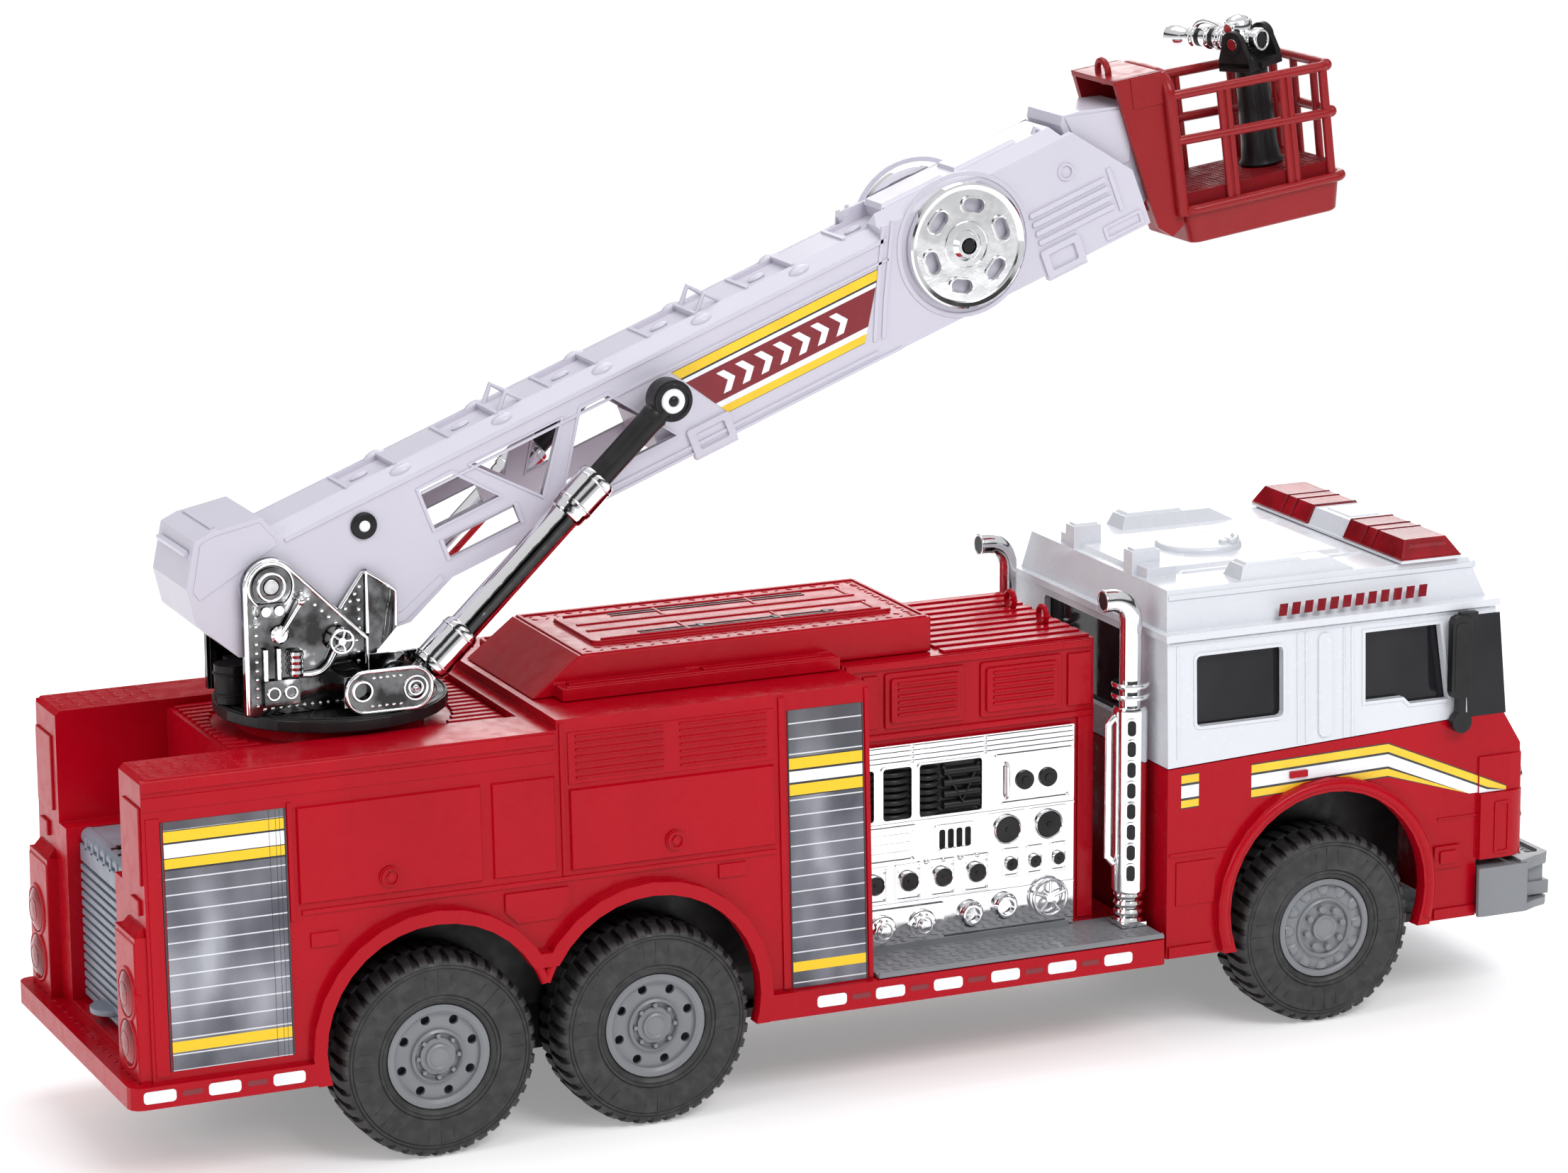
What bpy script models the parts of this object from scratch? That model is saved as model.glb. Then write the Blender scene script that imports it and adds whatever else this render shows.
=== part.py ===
"""Toy aerial fire engine: a six-wheeled truck with a turntable, a raising and extending boom
and a tilting basket. Written for Blender 4.5.

World frame: +X points forwards over the cab, +Y to the left, +Z up, with the ground at z = 0.
Every length below is in millimetres, and MM turns it into metres as the vertices are made.
"""

from math import atan2, cos, degrees, hypot, pi, radians, sin

import bmesh
import bpy
from mathutils import Matrix, Vector

MM = 0.001
GAP = 0.3  # clearance between touching pieces

# Running gear
TYRE_R = 40.0
RIM_R = 20.3
AXLE_R = 2.5
BORE_R = AXLE_R + GAP
AXLE_X = {"rear": -185.6, "middle": -96.6, "front": 200.4}
WHEEL_FACE = {"rear": 74.1, "middle": 74.1, "front": 72.0}
TYRE_W = 26.5
AXLE_Z = TYRE_R

# Rear body
STEP_REAR = -307.9
STEP_HALF = 75.6
SKIRT_Z = 36.0
STEP_Z = 45.2
BODY_REAR = -298.0
BODY_HALF = 72.0
WALL_TOP = 161.0
WALL_T = 3.0
LEAN = 0.0005  # each side leans in by this share of its y for every mm above STEP_Z
WELL_HALF = 41.5
WELL_FRONT = -253.0
DECK_Z = 157.5
BLOCK_REAR = -134.0
BLOCK_TOP = 165.0
COLUMN_FRONT = -3.5
ARCH_X = (-186.2, -98.2)
ARCH_Z = 48.5
ARCH_IN = 44.8
ARCH_OUT = 50.2
VALLEY_X = -142.2
VALLEY_Z = 76.0
HOUSE_TOP = 166.0
BOARD_FRONT = 124.5
BOARD_Z = 48.3

# Cab
CAB_REAR = 127.5
CAB_FRONT = 292.0
CAB_HALF = 70.0
CAB_SPLIT = 116.0
GUTTER_Z = 170.5
ROOF_Z = 186.5
CAB_ARCH_Z = 53.0
CAB_ARCH_IN = 45.4
CAB_ARCH_OUT = 50.9

# Turntable and boom
TURN_X = -200.5
DISC_R = 45.3
DISC_Z = (162.9, 167.7)
PIVOT_X = -231.7
PIVOT_Z = 218.0
SLOPE = 21.0  # degrees that the boom stands above level at rest
BOOM_HALF = 21.0
BOOM_WALL = 2.0
BOOM_LOW = -31.4
BOOM_END = 389.5
PLATE_Y = (22.0, 25.5)

# Lift cylinders, in the side view of the truck
BASE_PIN_X = -180.0
BASE_PIN_Z = 175.0
EYE_X = -71.7
EYE_Z = 277.2
CYLINDER_Y = 33.5
EYE_HOLE_R = 6.4
LIFT_PIN_R = 2.4

# Winding wheels and extension, in the boom's own frame
WINDER_U = 311.0
WINDER_W = -4.0
WINDER_R = 25.0
HINGE_U = 395.7
HINGE_W = -14.8

# Basket, in its own frame at the hinge
BASKET_SLOPE = 8.0
BASKET_HALF = 22.0
POST_U = 61.5
YOKE_W = 30.5
MONITOR_TURN = -68.0  # degrees that the monitor points to the toy's right at rest
FLOOR_W = -9.0

SIDES = {"left": 1, "right": -1}
TURN = {"X": Matrix.Rotation(pi / 2, 4, "Y"), "Y": Matrix.Rotation(-pi / 2, 4, "X"), "Z": Matrix()}
OUTLINE_PLANE = {
    "X": Matrix(((0, 0, 1, 0), (1, 0, 0, 0), (0, 1, 0, 0), (0, 0, 0, 1))),
    "Y": Matrix(((1, 0, 0, 0), (0, 0, -1, 0), (0, 1, 0, 0), (0, 0, 0, 1))),
    "Z": Matrix(),
}


# ---------------------------------------------------------------- scene and materials


def clear_scene():
    for obj in list(bpy.data.objects):
        bpy.data.objects.remove(obj, do_unlink=True)


def new_collection(name):
    collection = bpy.data.collections.new(name)
    bpy.context.scene.collection.children.link(collection)
    return collection


def principled(name, color, roughness, metallic=0.0):
    mat = bpy.data.materials.new(name)
    mat.use_nodes = True
    shader = mat.node_tree.nodes["Principled BSDF"]
    shader.inputs["Base Color"].default_value = (*color, 1)
    shader.inputs["Roughness"].default_value = roughness
    shader.inputs["Metallic"].default_value = metallic
    mat.diffuse_color = (*color, 1)
    return mat


clear_scene()
PARTS = new_collection("toy_fire_engine")
HELPERS = new_collection("cutters")
MATERIALS = {
    "red": ((0.52, 0.006, 0.02), 0.25, 0.0),
    "dark_red": ((0.25, 0.012, 0.014), 0.32, 0.0),
    "white": ((0.78, 0.8, 0.84), 0.28, 0.0),
    "black": ((0.016, 0.016, 0.018), 0.4, 0.0),
    "rubber": ((0.02, 0.02, 0.021), 0.55, 0.0),
    "grey": ((0.3, 0.31, 0.33), 0.38, 0.0),
    "chrome": ((0.86, 0.87, 0.88), 0.07, 1.0),
    "steel": ((0.6, 0.6, 0.6), 0.3, 1.0),
    "lens": ((0.4, 0.005, 0.01), 0.1, 0.0),
}


# ---------------------------------------------------------------- shape tools


def shape(mesh, frame=None):
    """An object for a mesh whose vertices are already in the frame's coordinates."""
    obj = bpy.data.objects.new("shape", mesh)
    obj.parent = frame
    HELPERS.objects.link(obj)
    obj.hide_render = True
    obj.display_type = "WIRE"
    return obj


def mesh_of(bm):
    bmesh.ops.recalc_face_normals(bm, faces=bm.faces)
    mesh = bpy.data.meshes.new("shape")
    bm.to_mesh(mesh)
    bm.free()
    return mesh


def wedge(low, high, frame=None):
    """A block between two level rectangles (x0, x1, half width or (y0, y1), z)."""
    bm = bmesh.new()
    bmesh.ops.create_cube(bm, size=2)
    for vert in bm.verts:
        x0, x1, ys, z = high if vert.co.z > 0 else low
        y0, y1 = ys if isinstance(ys, tuple) else (-ys, ys)
        vert.co = Vector((x1 if vert.co.x > 0 else x0, y1 if vert.co.y > 0 else y0, z)) * MM
    return shape(mesh_of(bm), frame)


def box(x, y, z, frame=None):
    """A box from three (low, high) pairs."""
    return wedge((*x, tuple(y), z[0]), (*x, tuple(y), z[1]), frame)


def cylinder(axis, centre, radius, length, frame=None, segments=24, end_radius=None):
    """A cylinder or a cone along an axis, its centre in the middle of its length."""
    bm = bmesh.new()
    far = radius if end_radius is None else end_radius
    bmesh.ops.create_cone(
        bm, cap_ends=True, segments=segments, radius1=radius * MM, radius2=far * MM, depth=length * MM
    )
    place = Matrix.Translation(Vector(centre) * MM) @ TURN[axis]
    bmesh.ops.transform(bm, matrix=place, verts=bm.verts)
    return shape(mesh_of(bm), frame)


def ball(centre, radius, frame=None, segments=16):
    bm = bmesh.new()
    bmesh.ops.create_uvsphere(bm, u_segments=segments, v_segments=segments // 2, radius=radius * MM)
    bmesh.ops.translate(bm, vec=Vector(centre) * MM, verts=bm.verts)
    return shape(mesh_of(bm), frame)


def ring(axis, centre, radius, thickness, frame=None, around=16):
    """A torus whose hole runs along an axis, swept as a closed curve."""
    curve = bpy.data.curves.new("ring", "CURVE")
    curve.dimensions = "3D"
    curve.bevel_depth = thickness * MM
    curve.bevel_resolution = 1
    spline = curve.splines.new("POLY")
    spline.points.add(around - 1)
    for i, point in enumerate(spline.points):
        angle = 2 * pi * i / around
        spot = Vector((cos(angle) * radius, sin(angle) * radius, 0))
        point.co = (*(TURN[axis] @ spot + Vector(centre)) * MM, 1)
    spline.use_cyclic_u = True
    return from_curve(curve, frame)


def from_curve(curve, frame=None):
    """The curve as a closed mesh, its caps welded to its sides."""
    guide = bpy.data.objects.new("guide", curve)
    mesh = bpy.data.meshes.new_from_object(guide)
    bpy.data.objects.remove(guide, do_unlink=True)
    bm = bmesh.new()
    bm.from_mesh(mesh)
    bmesh.ops.remove_doubles(bm, verts=bm.verts, dist=0.00001)
    return shape(mesh_of(bm), frame)


def plate(outline, axis, low, high, frame=None, holes=()):
    """A flat outline given thickness from low to high along an axis.

    The outline is in (x, z) for axis Y, in (y, z) for axis X and in (x, y) for axis Z.
    """
    curve = bpy.data.curves.new("outline", "CURVE")
    curve.dimensions = "2D"
    curve.fill_mode = "BOTH"
    curve.extrude = (high - low) / 2 * MM
    for loop in (outline, *holes):
        spline = curve.splines.new("POLY")
        spline.points.add(len(loop) - 1)
        for point, (a, b) in zip(spline.points, loop):
            point.co = (a * MM, b * MM, 0, 1)
        spline.use_cyclic_u = True
    obj = from_curve(curve, frame)
    middle = (low + high) / 2 * MM
    shift = {"X": (middle, 0, 0), "Y": (0, middle, 0), "Z": (0, 0, middle)}[axis]
    obj.data.transform(Matrix.Translation(shift) @ OUTLINE_PLANE[axis])
    return obj


def tube(points, radius, frame=None, sides=2):
    """A round bar through a list of points."""
    curve = bpy.data.curves.new("tube", "CURVE")
    curve.dimensions = "3D"
    curve.bevel_depth = radius * MM
    curve.bevel_resolution = sides
    curve.use_fill_caps = True
    spline = curve.splines.new("POLY")
    spline.points.add(len(points) - 1)
    for point, place in zip(spline.points, points):
        point.co = (*Vector(place) * MM, 1)
    return from_curve(curve, frame)


def turned(profile, axis, centre, frame=None, segments=32):
    """A solid of revolution. The profile is a closed loop of (radius, along) points."""
    bm = bmesh.new()
    verts = [bm.verts.new((r * MM, 0, a * MM)) for r, a in profile]
    for a, b in zip(verts, verts[1:] + verts[:1]):
        bm.edges.new((a, b))
    mesh = bpy.data.meshes.new("profile")
    bm.to_mesh(mesh)
    bm.free()
    obj = shape(mesh, frame)
    obj.matrix_local = Matrix.Translation(Vector(centre) * MM) @ TURN[axis]
    screw = obj.modifiers.new("turn", "SCREW")
    screw.axis = "Z"
    screw.steps = segments
    screw.render_steps = segments
    screw.use_merge_vertices = True
    screw.merge_threshold = 0.00001
    return obj


def arc(centre, radius, start, end, steps):
    """Points on a circle in the outline's plane, angles in degrees."""
    span = [radians(start + (end - start) * i / steps) for i in range(steps + 1)]
    return [(centre[0] + radius * cos(a), centre[1] + radius * sin(a)) for a in span]


def rounded(x0, x1, y0, y1, radius, steps=3):
    """A rectangle's outline with round corners."""
    corners = (((x1, y1), 0), ((x0, y1), 90), ((x0, y0), 180), ((x1, y0), 270))
    points = []
    for (x, y), start in corners:
        inner = (x + radius * (-1 if x == x1 else 1), y + radius * (-1 if y == y1 else 1))
        points += arc(inner, radius, start, start + 90, steps)
    return points


def combine(obj, operation, others):
    group = bpy.data.collections.new("group")
    HELPERS.children.link(group)
    group.hide_render = True
    for other in others:
        HELPERS.objects.unlink(other)
        group.objects.link(other)
    modifier = obj.modifiers.new(operation.lower(), "BOOLEAN")
    modifier.operation = operation
    modifier.solver = "EXACT"
    modifier.operand_type = "COLLECTION"
    modifier.collection = group
    return obj


def fuse(obj, *others):
    return combine(obj, "UNION", others)


def cut(obj, *others):
    return combine(obj, "DIFFERENCE", others)


def lean(obj):
    """Leans a shape of the rear body in towards its top, as the whole moulding does."""
    for vert in obj.data.vertices:
        vert.co.y *= 1 - LEAN * (vert.co.z / MM - STEP_Z)
    return obj


def part(obj, name, material):
    """Makes a shape one of the object's pieces."""
    obj.name = name
    obj.data.name = name
    HELPERS.objects.unlink(obj)
    PARTS.objects.link(obj)
    obj.hide_render = False
    obj.display_type = "TEXTURED"
    color, roughness, metallic = MATERIALS[material]
    obj.data.materials.append(principled(f"{name}_{material}", color, roughness, metallic))
    return obj


def joint_frame(name, x, y, z, parent=None, slope=0.0, turn=0.0):
    """An empty on a joint's axis. In degrees, slope lifts its +X end and turn swings it to +Y."""
    frame = bpy.data.objects.new(name, None)
    frame.empty_display_size = 0.02
    frame.location = Vector((x, y, z)) * MM
    frame.rotation_euler = (0, -radians(slope), radians(turn))
    frame.parent = parent
    PARTS.objects.link(frame)
    return frame


# ---------------------------------------------------------------- running gear


def wheel_and_axle(place):
    """One steel axle with a plastic hub and a tyre on each end, all turning together."""
    x = AXLE_X[place]
    face = WHEEL_FACE[place]
    frame = joint_frame(f"{place}_axle_frame", x, 0, AXLE_Z)
    part(cylinder("Y", (0, 0, 0), AXLE_R, 2 * face - 14, frame, 10), f"{place}_axle", "steel")
    bead = RIM_R + GAP
    half = TYRE_W / 2
    section = [
        (TYRE_R, half - 5),
        (TYRE_R, 5 - half),
        (TYRE_R - 4, -half),
        (bead + 4, -half),
        (bead, 2 - half),
        (bead, half - 2),
        (bead + 4, half),
        (TYRE_R - 4, half),
    ]
    for side, sign in SIDES.items():
        middle = sign * (face - half)
        part(turned(section, "Y", (0, middle, 0), frame, 24), f"{place}_tyre_{side}", "rubber")
        outer = face - 1.2
        depth = 19.0
        hub = [
            (RIM_R, outer),
            (RIM_R, outer - depth),
            (BORE_R, outer - depth),
            (BORE_R, outer - 5.5),
            (RIM_R - 3.5, outer - 3.5),
            (RIM_R - 3.5, outer),
        ]
        if sign < 0:
            hub = [(r, -a) for r, a in reversed(hub)]
        hub_obj = turned(hub, "Y", (0, 0, 0), frame, 16)
        part(hub_obj, f"{place}_hub_{side}", "grey")


def chassis():
    """The floor plate with bearing blocks for the axles and a hole for the battery box."""
    base = box((-290, 280), (-39, 39), (26, 30))
    blocks = [
        box((x - 9, x + 9), (-39, 39), (28, 49)) for x in AXLE_X.values()
    ]
    walls = [
        box((-150, -132), (-39, 39), (28, 45)),
        box((150, 158), (-39, 39), (28, 45)),
    ]
    fuse(base, *blocks, *walls)
    bores = [cylinder("Y", (x, 0, AXLE_Z), BORE_R, 100, None, 12) for x in AXLE_X.values()]
    reliefs = [box((x - 10, x + 10), (-30, 30), (32, 60)) for x in AXLE_X.values()]
    cut(base, *bores, *reliefs, box((-82, -13), (-28, 28), (20, 40)))
    part(base, "chassis", "black")


def battery_box():
    body = box((-85, -10), (-31, 31), (30 + GAP, 52))
    cut(body, box((-81, -14), (-27, 27), (20, 49)))
    part(body, "battery_box", "black")
    cover = box((-81.7, -13.3), (-27.7, 27.7), (26.4, 29))
    part(cover, "battery_cover", "black")


# ---------------------------------------------------------------- rear body


def rear_body():
    """The long red moulding: side walls, posts, well, arches, step and running-board skirt."""
    side = [
        (BODY_REAR, SKIRT_Z),
        (BODY_REAR, WALL_TOP - 2),
        (BODY_REAR + 2, WALL_TOP),
        (BLOCK_REAR, WALL_TOP),
        (BLOCK_REAR, BLOCK_TOP),
        (COLUMN_FRONT, BLOCK_TOP),
        (COLUMN_FRONT, SKIRT_Z),
    ]
    body = lean(plate(side, "Y", -BODY_HALF, BODY_HALF))
    step = plate(
        rounded(STEP_REAR, -228, -STEP_HALF, STEP_HALF, 5), "Z", SKIRT_Z + 0.5, STEP_Z
    )
    skirt = plate(rounded(-52, BOARD_FRONT, -STEP_HALF, STEP_HALF, 2), "Z", SKIRT_Z, 46.5)
    additions = [step, skirt]
    for sign in SIDES.values():
        face = tuple(sorted((sign * STEP_HALF, sign * (BODY_HALF - 6))))
        for x in ARCH_X:
            flare = arc((x, ARCH_Z), ARCH_OUT, -14.6, 194.6, 16)
            additions.append(plate(flare, "Y", *face))
        bridge = [
            (VALLEY_X - 26, 60),
            (VALLEY_X - 9, VALLEY_Z),
            (VALLEY_X + 9, VALLEY_Z),
            (VALLEY_X + 26, 60),
        ]
        additions.append(plate(bridge, "Y", *face))
        light_y = tuple(sorted((sign * 46, sign * (BODY_HALF - 1))))
        additions.append(lean(box((BODY_REAR - 4.5, BODY_REAR + 4), light_y, (STEP_Z - 2, 101))))
    fuse(body, *additions)

    inside = BODY_HALF - WALL_T
    hollow = [
        (WELL_FRONT + 4, 20),
        (WELL_FRONT + 4, DECK_Z - WALL_T),
        (BLOCK_REAR + 4, DECK_Z - WALL_T),
        (BLOCK_REAR + 4, BLOCK_TOP - WALL_T),
        (COLUMN_FRONT - WALL_T, BLOCK_TOP - WALL_T),
        (COLUMN_FRONT - WALL_T, 20),
    ]
    openings = [
        lean(plate(hollow, "Y", -inside, inside)),
        box((-48, BOARD_FRONT - 3), (-inside - 3, inside + 3), (20, 43)),
        box((BODY_REAR + 12, WELL_FRONT - 0.5), (-34, 34), (48, 112)),
        box((BODY_REAR - 10, BODY_REAR + 14), (-32, 32), (STEP_Z + 2.4, 112)),
        box((BODY_REAR - 10, WELL_FRONT), (-WELL_HALF, WELL_HALF), (116.5, 200)),
        box((BODY_REAR - 10, BODY_REAR + 30), (-32, 32), (100, 130)),
        box((WELL_FRONT - 1, BLOCK_REAR - 6), (-WELL_HALF, WELL_HALF), (DECK_Z, 200)),
        box((VALLEY_X - 17, VALLEY_X + 17), (-90, 90), (20, 70.5)),
    ]
    for x in ARCH_X:
        openings.append(plate(arc((x, ARCH_Z), ARCH_IN, 0, 350, 35), "Y", -90, 90))
        openings.append(box((x - ARCH_IN + 1.9, x + ARCH_IN - 1.9), (-90, 90), (20, 40)))
    cut(body, *openings)
    boss_middle = (TURN_X, 0, (DECK_Z + DISC_Z[0]) / 2 - 1)
    fuse(body, cylinder("Z", boss_middle, 37, DISC_Z[0] - DECK_Z + 1.4, None, 32))
    spindle_hole = cylinder("Z", (TURN_X, 0, 160), 9 + GAP, 30, None, 24)
    cut(body, spindle_hole)
    part(body, "rear_body", "red")


def rear_shutter():
    """The ribbed grey door between the posts, hinged along its rounded top edge."""
    frame = joint_frame("shutter_frame", BODY_REAR + 9, 0, 113)
    door = box((-3.4, -0.8), (-31.6, 31.6), (-64.5, -1), frame)
    knuckle = cylinder("Y", (0, 0, 0), 3.4, 63.2, frame, 16)
    roof = box((0, 14), (-31.6, 31.6), (0.6, 3.2), frame)
    tab = plate(arc((-2, 0), 9, 90, 270, 8), "Z", -61, -59, frame)
    fuse(door, knuckle, roof, tab)
    part(door, "rear_shutter", "grey")


def tail_lights():
    """Two stacked round lenses in one red moulding on each post."""
    for side, sign in SIDES.items():
        y = sign * 59.5
        front = BODY_REAR - 4.5 - GAP
        lens = cylinder("X", (front - 1.2, y, 77.5), 8.6, 2.4, None, 20)
        fuse(lens, cylinder("X", (front - 1.2, y, 58.5), 8.6, 2.4, None, 20))
        fuse(lens, box((front - 1.6, front), (y - 6, y + 6), (62, 74)))
        part(lens, f"tail_lights_{side}", "lens")


def deck_block():
    """The raised cover in the middle of the truck, with a hatch on its top."""
    side = [
        (-131, BLOCK_TOP + GAP),
        (-111.3, 180.4),
        (38.6, 180.4),
        (38.6, HOUSE_TOP + GAP),
        (-4, HOUSE_TOP + GAP),
        (-4, BLOCK_TOP + GAP),
    ]
    block = plate(side, "Y", -36, 36)
    ledge = box((-122, -5), (-45, 45), (BLOCK_TOP + GAP, 170.5))
    hatch = plate(rounded(-100, 28.6, -22, 22, 3), "Z", 179, 181.8)
    fuse(block, ledge, hatch)
    cut(block, box((-104, -8), (-30, 30), (150, 177)))
    part(block, "deck_cover", "red")
    cone = [(0.8, 169), (0.8, 173), (17, 175.5), (19, 175.5), (7, 171.5), (7, 169)]
    speaker = turned(cone, "Z", (-60, 0, 0), None, 16)
    part(speaker, "speaker", "black")


def pump_house():
    """The narrow red box between the body and the cab."""
    house = box((COLUMN_FRONT + GAP, 108), (-42.5, 42.5), (46.5 + GAP, HOUSE_TOP))
    cut(house, box((COLUMN_FRONT + 3, 105), (-39.5, 39.5), (40, 163)))
    for y in (-14.5, 14.5):
        fuse(house, ring("X", (99, y, 170), 3.6, 1.3, None, 12))
    part(house, "pump_house", "red")
    for side, sign in SIDES.items():
        ys = tuple(sorted((sign * (42.5 + GAP), sign * 46.2)))
        panel = box((COLUMN_FRONT + 1, 98), ys, (BOARD_Z + GAP, 132))
        part(panel, f"pump_panel_{side}", "chrome")
        ys = tuple(sorted((sign * (42.5 + GAP), sign * (STEP_HALF - 0.6))))
        board = box((COLUMN_FRONT + 1, BOARD_FRONT - 0.5), ys, (46.5 + GAP, BOARD_Z))
        part(board, f"running_board_{side}", "grey")


# ---------------------------------------------------------------- cab


def cab_lower():
    side = [
        (CAB_REAR, SKIRT_Z),
        (CAB_REAR, CAB_SPLIT - 1),
        (276, 122),
        (283.5, 122),
        (CAB_FRONT, 108),
        (CAB_FRONT, 60),
        (272, 60),
        (272, SKIRT_Z),
    ]
    body = plate(side, "Y", -CAB_HALF, CAB_HALF)
    x = AXLE_X["front"]
    additions = []
    for sign in SIDES.values():
        face = tuple(sorted((sign * (CAB_HALF + 3.4), sign * (CAB_HALF - 4))))
        flare = arc((x, CAB_ARCH_Z), CAB_ARCH_OUT, -19.3, 199.3, 18)
        additions.append(plate(flare, "Y", *face))
        corner = [(272, 48), (272, 71), (287, 71), (292.4, 70.3), (294, 67), (294, 48)]
        additions.append(plate([(a, sign * b) for a, b in corner], "Z", 60.5, 104))
    fuse(body, *additions)
    inside = CAB_HALF - 3
    openings = [
        box((CAB_REAR + 3, 289), (-inside, inside), (62, 130)),
        box((CAB_REAR + 3, 269), (-inside, inside), (20, 100)),
        plate(arc((x, CAB_ARCH_Z), CAB_ARCH_IN, 0, 350, 35), "Y", -90, 90),
        box((x - 42.2, x + 42.2), (-90, 90), (20, 42)),
    ]
    cut(body, *openings)
    part(body, "cab_lower", "red")


def window_cutters():
    """The side windows, the windshield and the rear window of the cab."""
    rear = rounded(140.5, 180, 131.6, 160.4, 2, 2)
    front = [(218, 162), (253, 162), (257, 130.3), (239, 130.3), (236, 133.3), (218, 133.3)]
    shield = rounded(-62, 62, 126, 165, 3, 2)
    back = rounded(-40, 40, 128, 164, 2, 2)
    return [
        plate(rear, "Y", -90, 90),
        plate(front, "Y", -90, 90),
        plate(shield, "X", 262, 300),
        plate(back, "X", 110, 140),
    ]


def cab_upper():
    """The white shell with the roof, and the black window insert inside it."""
    low = CAB_SPLIT - 0.7
    body = wedge((CAB_REAR, 285.3, CAB_HALF, low), (CAB_REAR, 279.2, CAB_HALF - 2, GUTTER_Z))
    roof = wedge((CAB_REAR + 1, 278, 66, GUTTER_Z - 4), (CAB_REAR + 4, 271, 60, ROOF_Z))
    gutter = box((CAB_REAR - 1.5, 280.5), (-70.5, 70.5), (GUTTER_Z - 3, GUTTER_Z))
    hatch = cylinder("Z", (178, 0, ROOF_Z + 1), 17, 6, None, 20)
    pods = []
    for sign in (-1, 1):
        thin = tuple(sorted((sign * 22, sign * 29.5)))
        step = tuple(sorted((sign * 29, sign * 38)))
        low_y = tuple(sorted((sign * 43, sign * 59)))
        high_y = tuple(sorted((sign * 45.5, sign * 56.5)))
        pods.append(box((131.8, 144.5), thin, (ROOF_Z - 2, 196)))
        pods.append(box((134, 147.5), step, (ROOF_Z - 2, 190.5)))
        pods.append(wedge((165, 222, low_y, ROOF_Z - 2), (168, 208, high_y, 192)))
    fuse(body, roof, gutter, hatch, *pods)
    split = [(100, 100), (100, low), (CAB_REAR - 5, low)]
    split += [(276, 122 + GAP), (300, 122 + GAP), (300, 100)]
    hollow = wedge((CAB_REAR + 3, 282, CAB_HALF - 3, low - 1), (CAB_REAR + 3, 276, CAB_HALF - 5, 168))
    upper = wedge((CAB_REAR + 4, 275, 63, 166), (CAB_REAR + 7, 268, 57, ROOF_Z - 3))
    cut(body, plate(split, "Y", -90, 90), hollow, upper, *window_cutters())
    part(body, "cab_upper", "white")

    outer = ((CAB_REAR + 3.3, 279.9, CAB_HALF - 3.8, 124), (CAB_REAR + 3.3, 274.6, CAB_HALF - 5.6, 165))
    inner = ((CAB_REAR + 5, 278.2, CAB_HALF - 5.6, 120), (CAB_REAR + 5, 272.8, CAB_HALF - 7.4, 163.2))
    glass = cut(wedge(*outer), wedge(*inner))
    part(glass, "cab_windows", "black")


def light_bar():
    """The white lamp housing on the roof between two red lenses."""
    base = wedge((238, 266, 62, ROOF_Z + GAP), (239, 265, 61, ROOF_Z + 1.6))
    middle = wedge((238, 266, 15, ROOF_Z + 1), (242, 261, 15, 195.6))
    fuse(base, middle)
    part(base, "light_bar_base", "white")
    low = ROOF_Z + 1.6 + GAP
    for side, sign in SIDES.items():
        bottom = tuple(sorted((sign * (15 + GAP), sign * 62.8)))
        top = tuple(sorted((sign * (15 + GAP), sign * 58.3)))
        lens = wedge((237.9, 266.1, bottom, low), (241.5, 261.5, top, 195.6))
        part(lens, f"light_lens_{side}", "lens")


def bumper():
    half = [(273, 74), (298, 74), (304, 71), (308.2, 65)]
    outline = half + [(x, -y) for x, y in reversed(half)]
    body = plate(outline, "Z", SKIRT_Z, 57)
    top = plate(rounded(294.8, 306, -70, 70, 3), "Z", 55, 59)
    fuse(body, top)
    cut(body, box((270, 291), (-60, 60), (30, 52)))
    part(body, "front_bumper", "grey")


def exhausts():
    """Chrome stacks in the gap behind the cab, their mouths turned to the rear."""
    for side, sign in SIDES.items():
        x = 117.5
        y = sign * 56
        bend = [(x - 18 + u, y, z) for u, z in arc((9, 175), 9, 0, 90, 5)]
        points = [(x, y, 60)] + bend + [(x - 12.5, y, 184)]
        pipe = tube(points, 4.6, None, 2)
        guard = cylinder("Z", (x, y, 101), 7.2, 78, None, 14)
        bands = [cylinder("Z", (x, y, z), 7.8, 3, None, 14) for z in (148, 66)]
        foot = box((x - 4, x + 4), (y - 4, y + 4), (BOARD_Z + GAP, 66))
        fuse(pipe, guard, *bands, foot)
        part(pipe, f"exhaust_{side}", "chrome")


def mirrors():
    for side, sign in SIDES.items():
        y = tuple(sorted((sign * 71.2, sign * 75)))
        mirror = plate(rounded(255.5, 264.8, 131, 166, 3, 2), "Y", *y)
        lobe = cylinder("Y", (261, sign * 73.1, 121), 4.6, 3.8, None, 16)
        stem = box((259, 262.5), y, (118, 134))
        arm = box((260, 268), tuple(sorted((sign * 70.9, sign * 74))), (163, 166.8))
        fuse(mirror, lobe, stem, arm)
        part(mirror, f"mirror_{side}", "black")


# ---------------------------------------------------------------- turntable


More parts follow.
